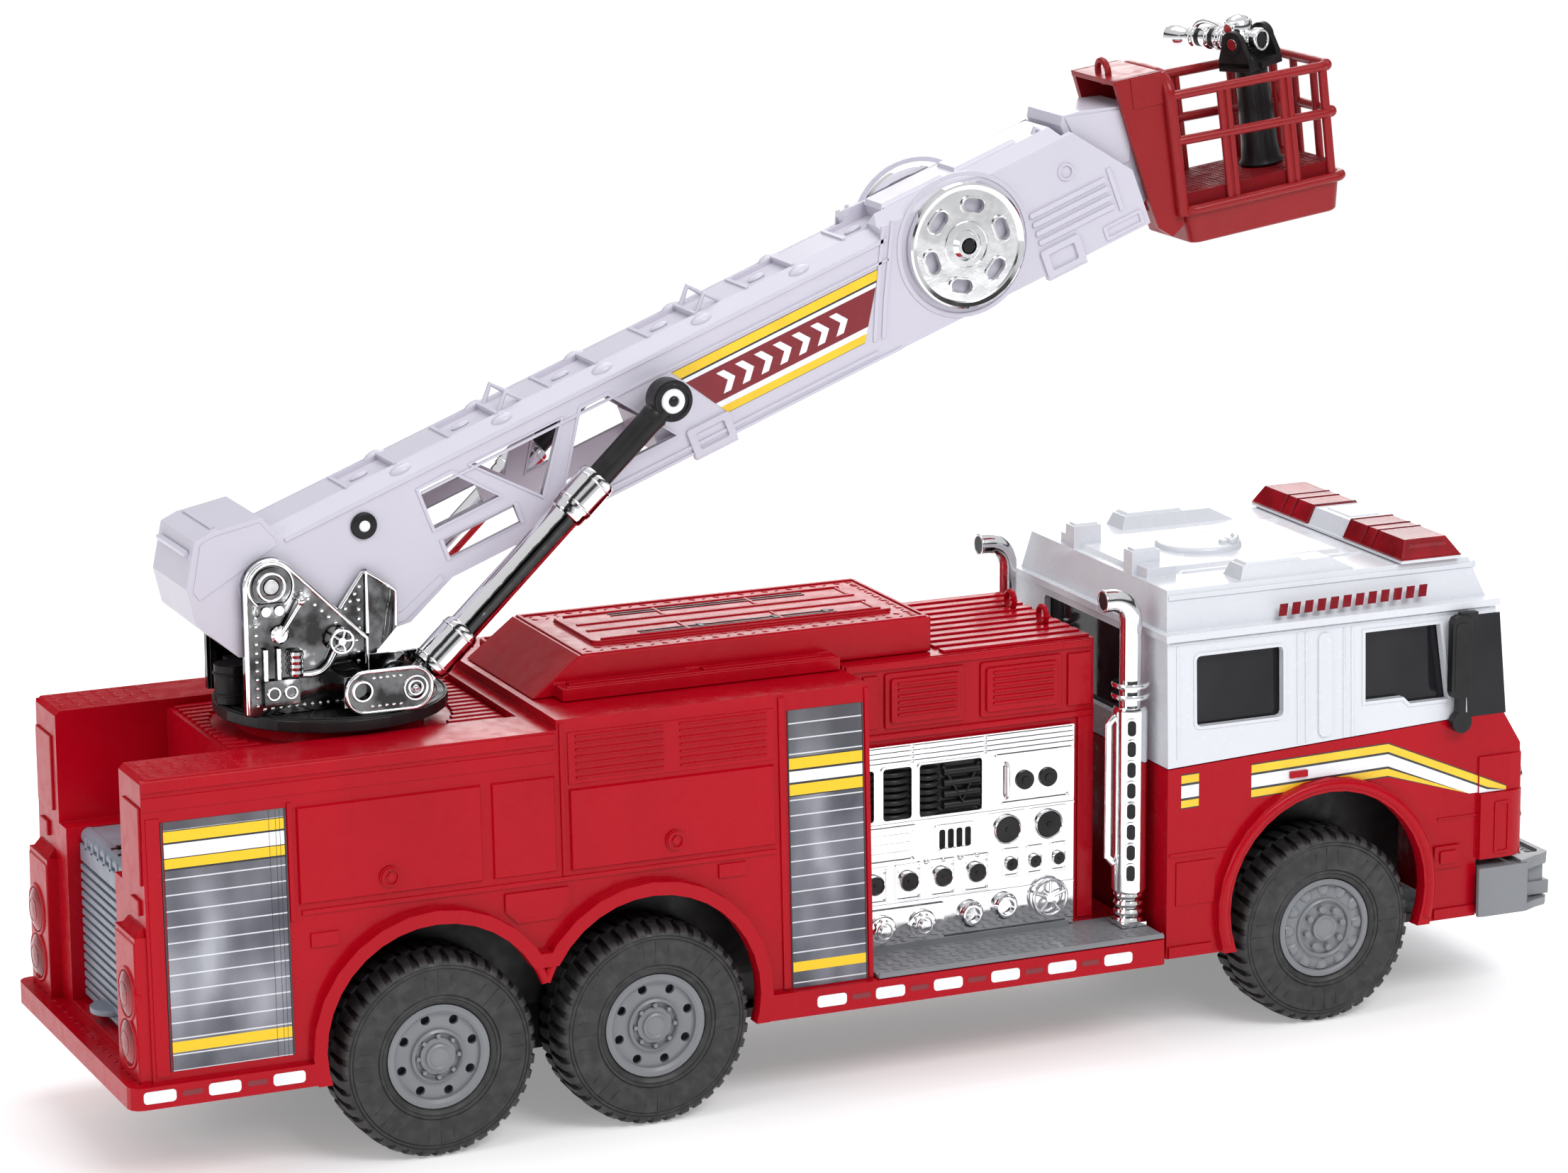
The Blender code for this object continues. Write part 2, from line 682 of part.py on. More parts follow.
def turntable():
    frame = joint_frame("turntable_frame", TURN_X, 0, DISC_Z[1])
    thick = DISC_Z[1] - DISC_Z[0] - GAP
    disc = cylinder("Z", (0, 0, -thick / 2), DISC_R, thick, frame, 32)
    block = box((PIVOT_X - 6 - TURN_X, 8), (-21.6, 21.6), (-1, 8), frame)
    spindle = cylinder("Z", (0, 0, -9), 9, 16, frame, 20)
    flange = cylinder("Z", (0, 0, -17.5), 13, 3, frame, 20)
    fuse(disc, block, spindle, flange)
    part(disc, "turntable", "black")
    pivot = (PIVOT_X - TURN_X, PIVOT_Z - DISC_Z[1])
    pin = (BASE_PIN_X - TURN_X, BASE_PIN_Z - DISC_Z[1])
    outline = [(-242.5 - TURN_X, GAP), *arc(pivot, 10.8, 180, 47, 8)]
    outline += [(-204 - TURN_X, 39.8), (-198 - TURN_X, 43), (-191 - TURN_X, 54.3)]
    outline += [(-184 - TURN_X, 51.5), (-175 - TURN_X, 44), (-174 - TURN_X, 28)]
    outline += [(-172 - TURN_X, 13), *arc(pin, 9.3, 20, -40, 4), (-178 - TURN_X, GAP)]
    holes = [arc(pivot, 3.3, 0, 330, 11), arc(pin, 3.3, 0, 330, 11)]
    for side, sign in SIDES.items():
        wall = plate(outline, "Y", *sorted((sign * PLATE_Y[0], sign * PLATE_Y[1])), frame, holes)
        part(wall, f"turret_plate_{side}", "chrome")
    pivot_pin = cylinder("Y", (pivot[0], 0, pivot[1]), 3, 2 * PLATE_Y[1] + 3, frame, 16)
    part(pivot_pin, "boom_pivot_pin", "steel")
    base_pin = cylinder("Y", (pin[0], 0, pin[1]), 3, 77, frame, 16)
    part(base_pin, "cylinder_base_pin", "steel")
    return frame


# ---------------------------------------------------------------- boom

BOOM_OUTLINE = [
    (-31, -2),
    (-29, 12),
    (-19, 27.5),
    (-12, 28),
    (8, 24.5),
    (11, 16.2),
    (277, 16.2),
    (284, 20.2),
    (368, 20.2),
    (BOOM_END, -8),
    (BOOM_END, BOOM_LOW),
    (68, BOOM_LOW),
    (46, -40),
    (20, -36),
    (-20.6, -21.4),
]
CHORD_LOW = 6.2
LATTICE = [
    [(68.6, CHORD_LOW), (82.8, CHORD_LOW), (97, -10.5), (68.6, -10.5)],
    [(91.3, CHORD_LOW), (131, CHORD_LOW), (113, -18)],
    [(70, -16), (101, -16), (101, -24), (70, -24)],
    [(140, CHORD_LOW), (152, CHORD_LOW), (172, -21), (121.5, -21)],
]
NOTCH_FIRST = 46.0
NOTCH_PITCH = 44.6
NOTCH_LONG = 20.0


def boom(turntable_frame):
    place = (PIVOT_X - TURN_X, 0, PIVOT_Z - DISC_Z[1])
    frame = joint_frame("boom_frame", *place, turntable_frame, SLOPE)
    shell = plate(BOOM_OUTLINE, "Y", -BOOM_HALF, BOOM_HALF, frame)
    inside = BOOM_HALF - BOOM_WALL
    cuts = [
        box((12, 500), (-inside, inside), (-60, 13), frame),
        box((366, 500), (-inside, inside), (-60, 60), frame),
        box((-19, 13), (-12, 12), (-60, -8), frame),
        cylinder("Y", (0, 0, 0), 3.3, 60, frame, 16),
        cylinder("Y", (WINDER_U, 0, WINDER_W), 3.3, 60, frame, 16),
        cylinder("Y", (43.3, 0, 3.5), 1.8 + GAP, 60, frame, 12),
    ]
    for sign in SIDES.values():
        rear_slope = [(sign * 10, 16.2), (sign * 32, 9.6), (sign * 32, 60), (sign * 10, 60)]
        front_slope = [(sign * 10, 20.2), (sign * 32, 14.2), (sign * 32, 60), (sign * 10, 60)]
        cuts.append(plate(rear_slope, "X", 11.5, 280, frame))
        cuts.append(plate(front_slope, "X", 275, 400, frame))
    for outline in LATTICE:
        cuts.append(plate(outline, "Y", -60, 60, frame))
    for i in range(6):
        start = NOTCH_FIRST + i * NOTCH_PITCH
        cuts.append(box((start, start + NOTCH_LONG), (-9.8, 9.8), (14.4, 40), frame))
    cut(shell, *cuts)
    eye_u, eye_w = boom_point(EYE_X, EYE_Z)
    cut(shell, cylinder("Y", (eye_u, 0, eye_w), LIFT_PIN_R + GAP, 60, frame, 12))
    stops = [
        tube([(u - 6, -8, 15), (u, -8, 21.5), (u + 6, -8, 15)], 1.1, frame, 1)
        for u in (118, 207, 361)
    ]
    fuse(shell, *stops)
    part(shell, "boom_shell", "white")
    lift_pin = cylinder("Y", (eye_u, 0, eye_w), LIFT_PIN_R, 78, frame, 12)
    part(lift_pin, "lift_pin", "steel")
    bolt = cylinder("Y", (43.3, 0, 3.5), 1.8, 2 * BOOM_HALF + 2, frame, 12)
    heads = [
        cylinder("Y", (43.3, sign * (BOOM_HALF + GAP + 0.6), 3.5), 5.2, 1.2, frame, 20)
        for sign in (-1, 1)
    ]
    fuse(bolt, *heads)
    part(bolt, "boom_cross_bolt", "black")
    return frame


def boom_point(x, z):
    """A side-view point of the truck in the boom's own (along, across) coordinates."""
    dx = x - PIVOT_X
    dz = z - PIVOT_Z
    a = radians(SLOPE)
    return dx * cos(a) + dz * sin(a), dz * cos(a) - dx * sin(a)


def winder(boom_frame):
    """The two chrome wheels on the pinion shaft that drives the extension."""
    frame = joint_frame("winder_frame", WINDER_U, 0, WINDER_W, boom_frame)
    shaft = cylinder("Y", (0, 0, 0), 3, 2 * (BOOM_HALF + 4), frame, 16)
    fuse(shaft, cylinder("Y", (0, 0, 0), 7, 12, frame, 18))
    part(shaft, "winder_shaft", "black")
    for side, sign in SIDES.items():
        profile = [(3 + GAP, 0.8), (3 + GAP, 4.4), (WINDER_R, 4.4), (WINDER_R, 0.8)]
        if sign < 0:
            profile = [(r, -a) for r, a in reversed(profile)]
        wheel = turned(profile, "Y", (0, sign * BOOM_HALF, 0), frame, 24)
        part(wheel, f"winder_wheel_{side}", "chrome")


def extension(boom_frame):
    """The inner boom: a bar below the pinion with a raised head that carries the basket."""
    frame = joint_frame("extension_frame", 0, 0, 0, boom_frame)
    bar = box((165, 388), (-16, 16), (-27, -12.2), frame)
    hinge = (HINGE_U, HINGE_W)
    head = [(369, -27), (369, 20), (371, 23.5), (379, 22), (402.5, 14)]
    head += [*arc(hinge, 8, 0, -90, 6), (388, -27)]
    fuse(bar, plate(head, "Y", -15, 15, frame))
    fuse(bar, cylinder("Y", (HINGE_U, 0, HINGE_W), 2.5, 37.4, frame, 14))
    part(bar, "inner_boom", "white")
    return frame


# ---------------------------------------------------------------- lift cylinders


def lift_cylinders(turntable_frame):
    """Two chrome cylinders from the turret to the boom, each with a black sliding rod."""
    reach = hypot(EYE_X - BASE_PIN_X, EYE_Z - BASE_PIN_Z)
    slope = degrees(atan2(EYE_Z - BASE_PIN_Z, EYE_X - BASE_PIN_X))
    place = (BASE_PIN_X - TURN_X, BASE_PIN_Z - DISC_Z[1])
    for side, sign in SIDES.items():
        y = sign * CYLINDER_Y
        frame = joint_frame(f"cylinder_{side}_frame", place[0], y, place[1], turntable_frame, slope)
        barrel = turned(
            [(5.3, 108.4), (7.2, 108.4), (7.2, 97), (6.2, 95), (6.2, 26), (7.6, 24), (7.6, 12), (5, 8)]
            + [(0.8, 8), (0.8, 22), (5.3, 22)],
            "X",
            (0, 0, 0),
            frame,
            14,
        )
        knuckle = cylinder("Y", (0, 0, 0), 6.8, 7, frame, 16)
        neck = box((3, 14), (-3, 3), (-4, 4), frame)
        fuse(knuckle, neck, barrel)
        cut(knuckle, cylinder("Y", (0, 0, 0), 3 + GAP, 30, frame, 16))
        part(knuckle, f"cylinder_tube_{side}", "chrome")
        rod_frame = joint_frame(f"rod_{side}_frame", reach, 0, 0, frame)
        eye = cylinder("Y", (0, 0, 0), 8.6, 8, rod_frame, 18)
        fuse(eye, cylinder("X", (-(reach - 40) / 2 - 3, 0, 0), 5, reach - 46, rod_frame, 12))
        cut(eye, cylinder("Y", (0, 0, 0), EYE_HOLE_R, 30, rod_frame, 16))
        part(eye, f"cylinder_rod_{side}", "black")


# ---------------------------------------------------------------- basket and monitor


def basket(extension_frame):
    tilt = BASKET_SLOPE - SLOPE
    frame = joint_frame("basket_frame", HINGE_U, 0, HINGE_W, extension_frame, tilt)
    tray = wedge((15.7, 84, 20.5, -30.5), (13.6, 86, BASKET_HALF, -17), frame)
    lip = plate(rounded(12.6, 88.5, -24.5, 24.5, 4), "Z", -17.6, -15, frame)
    floor = box((9, 82), (-20.5, 20.5), (-16, FLOOR_W), frame)
    cheeks = []
    side = [(-10, 41.5), (12, 41.5), (18.6, 34), (12.5, 14), (12, -24), (2, -22), (-0.7, -12)]
    for sign in SIDES.values():
        cheeks.append(plate(side, "Y", *sorted((sign * 16, sign * 18.5)), frame))
    roof = box((-10, 12), (-18, 18), (39, 41.5), frame)
    front = box((12, 15), (-18, 18), (-24, 40), frame)
    loop = ring("X", (-6, 0, 42), 4.5, 1.5, frame, 12)
    rails = []
    for w in (31, 13):
        corner = 5
        path = [(14, 18, w), (18, BASKET_HALF, w)]
        path += [(86 - corner, BASKET_HALF, w), (86, BASKET_HALF - corner, w)]
        path += [(u, -v, z) for u, v, z in reversed(path)]
        rails.append(tube(path, 2.1, frame, 1))
    bars = []
    for sign in SIDES.values():
        for u in (34.8, 38.2, 62.3, 65.7, 80.5):
            ends = [(u, sign * BASKET_HALF, 31), (u - 1, sign * (BASKET_HALF - 0.5), -16)]
            bars.append(tube(ends, 1.5, frame, 0))
    for v in (-8, 8):
        bars.append(tube([(86, v, 31), (84.5, v, -16)], 1.5, frame, 0))
    fuse(tray, lip, floor, *cheeks, roof, front, loop, *rails, *bars)
    cut(tray, cylinder("Y", (0, 0, 0), 2.8, 60, frame, 14))
    cut(tray, box((18, 79), (-17.5, 17.5), (-40, -19), frame))
    part(tray, "basket", "dark_red")

    base = FLOOR_W + GAP
    post = cylinder("Z", (POST_U, 0, (base + YOKE_W) / 2), 9, YOKE_W - base, frame, 16, 7)
    part(post, "monitor_post", "black")
    yoke_frame = joint_frame("yoke_frame", POST_U, 0, YOKE_W, frame, turn=MONITOR_TURN)
    yoke = box((-8, 8), (-10.5, 10.5), (GAP, 4), yoke_frame)
    ears = [
        plate(
            [(-8, 3), (8, 3), (6, 9), *arc((0, 11.7), 5.2, 0, 180, 8), (-6, 9)],
            "Y",
            *sorted((sign * 8, sign * 10.5)),
            yoke_frame,
        )
        for sign in (-1, 1)
    ]
    fuse(yoke, *ears)
    cut(yoke, cylinder("Y", (0, 0, 11.7), 2.8, 40, yoke_frame, 14))
    part(yoke, "monitor_yoke", "black")
    gun_frame = joint_frame("nozzle_frame", 0, 0, 11.7, yoke_frame)
    gun = turned(
        [(4.4, 6.5), (4.4, -12), (5, -14), (5, -20), (3.4, -22), (3.4, -33), (4.6, -35), (4.6, -41)]
        + [(2.4, -41), (2.4, -22), (0.6, -22), (0.6, 6.5)],
        "X",
        (0, 0, 0),
        gun_frame,
        12,
    )
    hub = ball((0, 0, 0), 5.6, gun_frame, 12)
    trunnion = cylinder("Y", (0, 0, 0), 2.5, 21, gun_frame, 14)
    dome = ball((-4.5, 0, 4.6), 5.8, gun_frame, 12)
    fuse(hub, trunnion, gun, dome)
    part(hub, "water_nozzle", "chrome")


def shade():
    """Round faces look round, and edges sharper than 35 degrees stay crisp."""
    for obj in PARTS.objects:
        if obj.type == "MESH":
            obj.data.shade_smooth()
            obj.data.set_sharp_from_angle(angle=radians(35))


for axle_place in AXLE_X:
    wheel_and_axle(axle_place)
chassis()
battery_box()
rear_body()
rear_shutter()
tail_lights()
deck_block()
pump_house()
cab_lower()
cab_upper()
light_bar()
bumper()
exhausts()
mirrors()
turret = turntable()
main_boom = boom(turret)
winder(main_boom)
inner = extension(main_boom)
lift_cylinders(turret)
basket(inner)
shade()
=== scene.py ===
"""Looks of a toy aerial fire engine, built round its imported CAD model.

World frame: +X forwards over the cab, +Y to the toy's left, +Z up, ground at z = 0. Shapes are
given in millimetres in the frame of the body that carries them, and turned into metres as each
piece is finished.
"""

from math import atan2, cos, hypot, pi, radians, sin

import bmesh
import bpy
from mathutils import Matrix, Vector


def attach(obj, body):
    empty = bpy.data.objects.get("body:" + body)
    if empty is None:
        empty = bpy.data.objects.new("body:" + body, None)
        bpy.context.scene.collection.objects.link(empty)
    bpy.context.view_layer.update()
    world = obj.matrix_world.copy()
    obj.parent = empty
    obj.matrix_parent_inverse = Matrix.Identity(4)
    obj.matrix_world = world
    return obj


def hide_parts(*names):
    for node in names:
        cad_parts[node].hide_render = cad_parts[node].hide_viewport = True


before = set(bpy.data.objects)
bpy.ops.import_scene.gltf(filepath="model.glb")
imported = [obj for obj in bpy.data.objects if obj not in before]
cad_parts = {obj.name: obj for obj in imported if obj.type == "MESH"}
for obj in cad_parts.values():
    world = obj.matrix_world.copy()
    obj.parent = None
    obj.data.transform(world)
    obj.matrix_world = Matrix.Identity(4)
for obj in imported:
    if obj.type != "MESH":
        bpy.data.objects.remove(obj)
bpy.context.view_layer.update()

MM = 0.001
SIDES = {"left": 1, "right": -1}
TURN = {"X": Matrix.Rotation(pi / 2, 4, "Y"), "Y": Matrix.Rotation(-pi / 2, 4, "X"), "Z": Matrix()}
FLAT = {
    "X": Matrix(((0, 0, 1, 0), (1, 0, 0, 0), (0, 1, 0, 0), (0, 0, 0, 1))),
    "Y": Matrix(((1, 0, 0, 0), (0, 0, -1, 0), (0, 1, 0, 0), (0, 0, 0, 1))),
    "Z": Matrix(),
}


def place(x, y, z, slope=0.0):
    """A frame at a point in millimetres. slope lifts its +X end, in degrees."""
    return Matrix.Translation((x, y, z)) @ Matrix.Rotation(-radians(slope), 4, "Y")


# The same driving dimensions as the CAD model's
AXLE_X = {"rear": -185.6, "middle": -96.6, "front": 200.4}
WHEEL_FACE = {"rear": 74.1, "middle": 74.1, "front": 72.0}
TYRE_R = 40.0
TYRE_W = 26.5
RIM_R = 20.3
WALL_Y = 72.0
WALL_Z = 45.2
LEAN = 0.0005
TURN_X = -200.5
BOOM = place(-231.7, 0, 218, 21)
BOOM_HALF = 21.0
BASKET = BOOM @ place(395.7, 0, -14.8, 8 - 21)
MONITOR_TURN = -68.0
YOKE = BASKET @ place(61.5, 0, 30.5) @ Matrix.Rotation(radians(MONITOR_TURN), 4, "Z")
NOZZLE = YOKE @ place(0, 0, 11.7)
WINDER = BOOM @ place(311, 0, -4)
BASE_PIN = (-180.0, 175.0)
ROD_EYE = (-71.7, 277.2)
REACH = hypot(ROD_EYE[0] - BASE_PIN[0], ROD_EYE[1] - BASE_PIN[1])
LIFT_SLOPE = atan2(ROD_EYE[1] - BASE_PIN[1], ROD_EYE[0] - BASE_PIN[0]) * 180 / pi
CYLINDER_Y = 33.5


# ---------------------------------------------------------------- camera, light and floor


def camera():
    """The camera that sees the toy as a low three-quarter view of its right side."""
    azimuth, elevation, roll = radians(-23.982), radians(13.342), radians(-0.363)
    target = Vector((-0.009, 0, 0.18975))
    distance = 2.07927
    back = Vector((sin(azimuth) * cos(elevation), -cos(azimuth) * cos(elevation), sin(elevation)))
    right = Vector((cos(azimuth), sin(azimuth), 0))
    up = back.cross(right)
    rolled = right * cos(roll) + up * sin(roll)
    data = bpy.data.cameras.new("camera")
    data.lens = 119.87
    data.sensor_width = 36
    obj = bpy.data.objects.new("camera", data)
    bpy.context.scene.collection.objects.link(obj)
    axes = Matrix((rolled, back.cross(rolled), back)).transposed().to_4x4()
    obj.matrix_world = Matrix.Translation(target + back * distance) @ axes
    bpy.context.scene.camera = obj


def soft_light(name, spot, aim, size, power, color=(1, 1, 1)):
    """An area light at a spot, turned to its aim."""
    data = bpy.data.lights.new(name, "AREA")
    data.shape = "RECTANGLE"
    data.size, data.size_y = size
    data.energy = power
    data.color = color
    obj = bpy.data.objects.new(name, data)
    obj.location = spot
    obj.rotation_euler = (Vector(aim) - Vector(spot)).to_track_quat("-Z", "Y").to_euler()
    bpy.context.scene.collection.objects.link(obj)


def studio():
    """A white room: bright below and overhead, with a dark band between that the chrome mirrors."""
    world = bpy.data.worlds.new("studio")
    bpy.context.scene.world = world
    world.use_nodes = True
    tree = world.node_tree
    coords = tree.nodes.new("ShaderNodeTexCoord")
    split = tree.nodes.new("ShaderNodeSeparateXYZ")
    ramp = tree.nodes.new("ShaderNodeValToRGB")
    tree.links.new(coords.outputs["Generated"], split.inputs[0])
    tree.links.new(split.outputs["Z"], ramp.inputs[0])
    stops = ((0.0, 0.95), (0.06, 0.85), (0.13, 0.1), (0.3, 0.06), (0.4, 0.9), (0.85, 1.0))
    while len(ramp.color_ramp.elements) < len(stops):
        ramp.color_ramp.elements.new(0.5)
    for element, (spot, grey) in zip(ramp.color_ramp.elements, stops):
        element.position = spot
        element.color = (grey, grey, grey * 1.01, 1)
    room = tree.nodes["Background"]
    tree.links.new(ramp.outputs[0], room.inputs["Color"])
    room.inputs["Strength"].default_value = 0.72
    seen = tree.nodes.new("ShaderNodeBackground")
    seen.inputs["Color"].default_value = (1, 1, 1, 1)
    path = tree.nodes.new("ShaderNodeLightPath")
    both = tree.nodes.new("ShaderNodeMixShader")
    tree.links.new(path.outputs["Is Camera Ray"], both.inputs[0])
    tree.links.new(room.outputs[0], both.inputs[1])
    tree.links.new(seen.outputs[0], both.inputs[2])
    tree.links.new(both.outputs[0], tree.nodes["World Output"].inputs["Surface"])
    soft_light("key", (0.35, -1.5, 1.5), (0, 0, 0.15), (1.1, 0.7), 19)
    soft_light("side", (-1.9, -0.7, 0.9), (-0.1, 0, 0.15), (0.8, 0.8), 8)
    soft_light("top", (0.0, 0.5, 1.9), (0, 0, 0.1), (1.6, 0.9), 11)
    soft_light("back", (0.9, 1.6, 0.9), (0, 0, 0.2), (1.0, 0.8), 8)
    bpy.context.scene.view_settings.view_transform = "Standard"
    mesh = bpy.data.meshes.new("floor")
    bm = bmesh.new()
    bmesh.ops.create_circle(bm, cap_ends=True, segments=96, radius=1.85)
    bm.to_mesh(mesh)
    bm.free()
    floor = bpy.data.objects.new("floor", mesh)
    bpy.context.scene.collection.objects.link(floor)
    mat = bpy.data.materials.new("floor_paper")
    mat.use_nodes = True
    shader = mat.node_tree.nodes["Principled BSDF"]
    shader.inputs["Base Color"].default_value = (0.9, 0.9, 0.91, 1)
    shader.inputs["Roughness"].default_value = 0.8
    shader.inputs["Emission Color"].default_value = (1, 1, 1, 1)
    shader.inputs["Emission Strength"].default_value = 0.27
    mesh.materials.append(mat)


# ---------------------------------------------------------------- materials


class Paint:
    """A material under construction, with its pattern in the toy's own coordinates, in metres."""

    def __init__(self, name, roughness, metallic=0.0):
        self.mat = bpy.data.materials.new(name)
        self.mat.use_nodes = True
        self.tree = self.mat.node_tree
        self.shader = self.tree.nodes["Principled BSDF"]
        self.shader.inputs["Roughness"].default_value = roughness
        self.shader.inputs["Metallic"].default_value = metallic
        self.coords = self.tree.nodes.new("ShaderNodeTexCoord").outputs["Object"]

    def put(self, socket, value):
        """Links a node output to a socket, or sets a plain value on it."""
        if isinstance(value, bpy.types.NodeSocket):
            self.tree.links.new(value, socket)
        elif value is not None:
            socket.default_value = value

    def axis(self, letter):
        """One coordinate of the surface point, in metres."""
        split = self.tree.nodes.new("ShaderNodeSeparateXYZ")
        self.put(split.inputs[0], self.coords)
        return split.outputs[letter]

    def math(self, operation, a, b=None, c=None):
        """One math node with its inputs."""
        node = self.tree.nodes.new("ShaderNodeMath")
        node.operation = operation
        for socket, value in zip(node.inputs, (a, b, c)):
            self.put(socket, value)
        return node.outputs[0]

    def noise(self, scale, detail=3.0, stretch=None):
        """Noise over the surface, stretched along the axes if asked."""
        node = self.tree.nodes.new("ShaderNodeTexNoise")
        node.inputs["Scale"].default_value = scale
        node.inputs["Detail"].default_value = detail
        source = self.coords
        if stretch:
            mapping = self.tree.nodes.new("ShaderNodeMapping")
            mapping.inputs["Scale"].default_value = stretch
            self.put(mapping.inputs["Vector"], source)
            source = mapping.outputs[0]
        self.put(node.inputs["Vector"], source)
        return node.outputs["Fac"]

    def ramp(self, factor, stops, steps=False):
        """Greys or colours at the given stops, blended or in steps."""
        node = self.tree.nodes.new("ShaderNodeValToRGB")
        node.color_ramp.interpolation = "CONSTANT" if steps else "LINEAR"
        while len(node.color_ramp.elements) < len(stops):
            node.color_ramp.elements.new(1.0)
        for element, (spot, color) in zip(node.color_ramp.elements, stops):
            element.position = spot
            element.color = (*color, 1) if isinstance(color, tuple) else (color, color, color, 1)
        self.put(node.inputs[0], factor)
        return node.outputs[0]

    def mix(self, factor, a, b):
        """A blend of two colours by a factor."""
        node = self.tree.nodes.new("ShaderNodeMix")
        node.data_type = "RGBA"
        self.put(node.inputs[0], factor)
        for socket, value in ((node.inputs[6], a), (node.inputs[7], b)):
            self.put(socket, (*value, 1) if isinstance(value, tuple) else value)
        return node.outputs[2]

    def bump(self, height, depth_mm, strength=1.0, before=None):
        """A bump of a depth in mm, on top of an earlier one if given."""
        node = self.tree.nodes.new("ShaderNodeBump")
        node.inputs["Strength"].default_value = strength
        node.inputs["Distance"].default_value = depth_mm * MM
        self.put(node.inputs["Height"], height)
        self.put(node.inputs["Normal"], before)
        return node.outputs[0]

    def color(self, value):
        self.put(self.shader.inputs["Base Color"], value)

    def rough(self, low, high, scale=160, detail=8):
        """Roughness that varies between two values."""
        span = self.ramp(self.noise(scale, detail), ((0.35, low), (0.7, high)))
        self.put(self.shader.inputs["Roughness"], span)

    def normal(self, value):
        self.put(self.shader.inputs["Normal"], value)

    def set(self, **values):
        """Sets the shader's own sockets and returns the finished material."""
        for name, value in values.items():
            self.shader.inputs[name.replace("_", " ")].default_value = value
        return self.mat


def shade(color, factor):
    """The colour made lighter or darker by a factor."""
    return tuple(min(1.0, c * factor) for c in color)


def moulded(name, color, roughness, gloss=0.0, calm=1.0, rub=0.2, shine=0.5):
    """Glossy moulded plastic: faint flow marks in the colour, handling marks, a fine mould skin."""
    p = Paint(name, roughness)
    flow = p.noise(28, 2, (1, 1, 0.4))
    base = p.ramp(flow, ((0.3, shade(color, 1 - 0.07 * calm)), (0.7, shade(color, 1 + 0.05 * calm))))
    rubbed = p.ramp(p.noise(420, 6), ((0.66, 0.0), (0.8, rub)))
    p.color(p.mix(rubbed, base, shade(color, 0.82)))
    p.rough(roughness * (1 - 0.2 * calm), roughness * (1 + 0.35 * calm))
    skin = p.bump(p.noise(1500, 2), 0.012 * calm, 0.6)
    p.normal(p.bump(p.noise(45, 2), 0.18 * calm, 0.2, skin))
    return p.set(Coat_Weight=gloss, Coat_Roughness=0.08, Specular_IOR_Level=shine)


def chromed(name, stops, grain=60, wave=0.3):
    """Vacuum-metallised plastic: mirror bright, a little wavy, its tone moving between stops."""
    p = Paint(name, 0.08, 1.0)
    p.color(p.ramp(p.noise(grain, 3), tuple((spot, (v, v * 1.005, v * 1.02)) for spot, v in stops)))
    p.rough(0.05, 0.15, 220)
    fine = p.bump(p.noise(900, 3), 0.012, 0.5)
    p.normal(p.bump(p.noise(80, 2), wave, 0.3, fine))
    return p.mat


def painted_reflection_chrome():
    """Chromed tube with a painted reflection: a dark, ragged band painted along its outer side."""
    p = Paint("painted_reflection_chrome_finish", 0.08, 1.0)
    out = p.math("ABSOLUTE", p.axis("Y"))
    ragged = p.math("ADD", out, p.math("MULTIPLY", p.noise(300, 3), 0.5 * MM))
    start, wide = 39.0 * MM, 1.2 * MM
    across = p.math("DIVIDE", p.math("SUBTRACT", ragged, start), wide)
    # Painted reflection: dark across a band near the tube's outer side, bright again beyond it.
    band = ((0.0, 0.88), (0.1, 0.12), (0.4, 0.03), (0.75, 0.06), (0.86, 0.4), (1.0, 0.85))
    p.color(p.ramp(across, tuple((spot, (v, v, v * 1.02)) for spot, v in band)))
    p.rough(0.05, 0.14, 220)
    p.normal(p.bump(p.noise(80, 2), 0.2, 0.3))
    return p.mat


def vinyl():
    """Soft black tyre vinyl, matt, with a little dust in its grain."""
    p = Paint("tyre_vinyl_finish", 0.5)
    dust = p.ramp(p.noise(240, 9), ((0.45, 0.0), (0.75, 0.5)))
    p.color(p.mix(dust, (0.02, 0.02, 0.021), (0.065, 0.063, 0.061)))
    p.rough(0.42, 0.68)
    p.normal(p.bump(p.noise(2400, 4), 0.03, 0.7))
    return p.mat


def lens_red():
    """Clear red lens plastic with fine optic ribs, darker where it is thick."""
    p = Paint("clear_red_finish", 0.1)
    ribs = p.math("SINE", p.math("MULTIPLY", p.axis("Y"), 4200))
    p.color(p.ramp(p.noise(70, 2), ((0.3, (0.2, 0.002, 0.006)), (0.7, (0.44, 0.007, 0.018)))))
    p.normal(p.bump(ribs, 0.03, 0.4))
    p.rough(0.07, 0.16)
    return p.set(Transmission_Weight=0.25, IOR=1.49, Specular_IOR_Level=0.35)


def smoked():
    """Black glazing plastic, polished, with a faint paler haze."""
    p = Paint("tinted_black_finish", 0.06)
    p.color(p.ramp(p.noise(25, 2), ((0.3, (0.008, 0.008, 0.01)), (0.7, (0.02, 0.02, 0.024)))))
    p.rough(0.04, 0.12)
    return p.set(Specular_IOR_Level=0.22)


def ribbed_grip():
    """Satin black plastic with a fine moulded grain."""
    p = Paint("black_plastic_finish", 0.38)
    p.color(p.ramp(p.noise(60, 3), ((0.3, (0.006, 0.006, 0.007)), (0.7, (0.013, 0.013, 0.014)))))
    p.rough(0.28, 0.5)
    p.normal(p.bump(p.noise(1800, 3), 0.02, 0.7))
    return p.set(Specular_IOR_Level=0.3)


def steel():
    """Drawn steel pin stock with lines round it."""
    p = Paint("steel_rod_finish", 0.3, 1.0)
    p.color(p.ramp(p.noise(300, 4), ((0.3, (0.42, 0.42, 0.43)), (0.7, (0.62, 0.62, 0.63)))))
    p.rough(0.2, 0.42)
    p.normal(p.bump(p.noise(900, 2, (0.1, 1, 1)), 0.01, 0.6))
    return p.mat


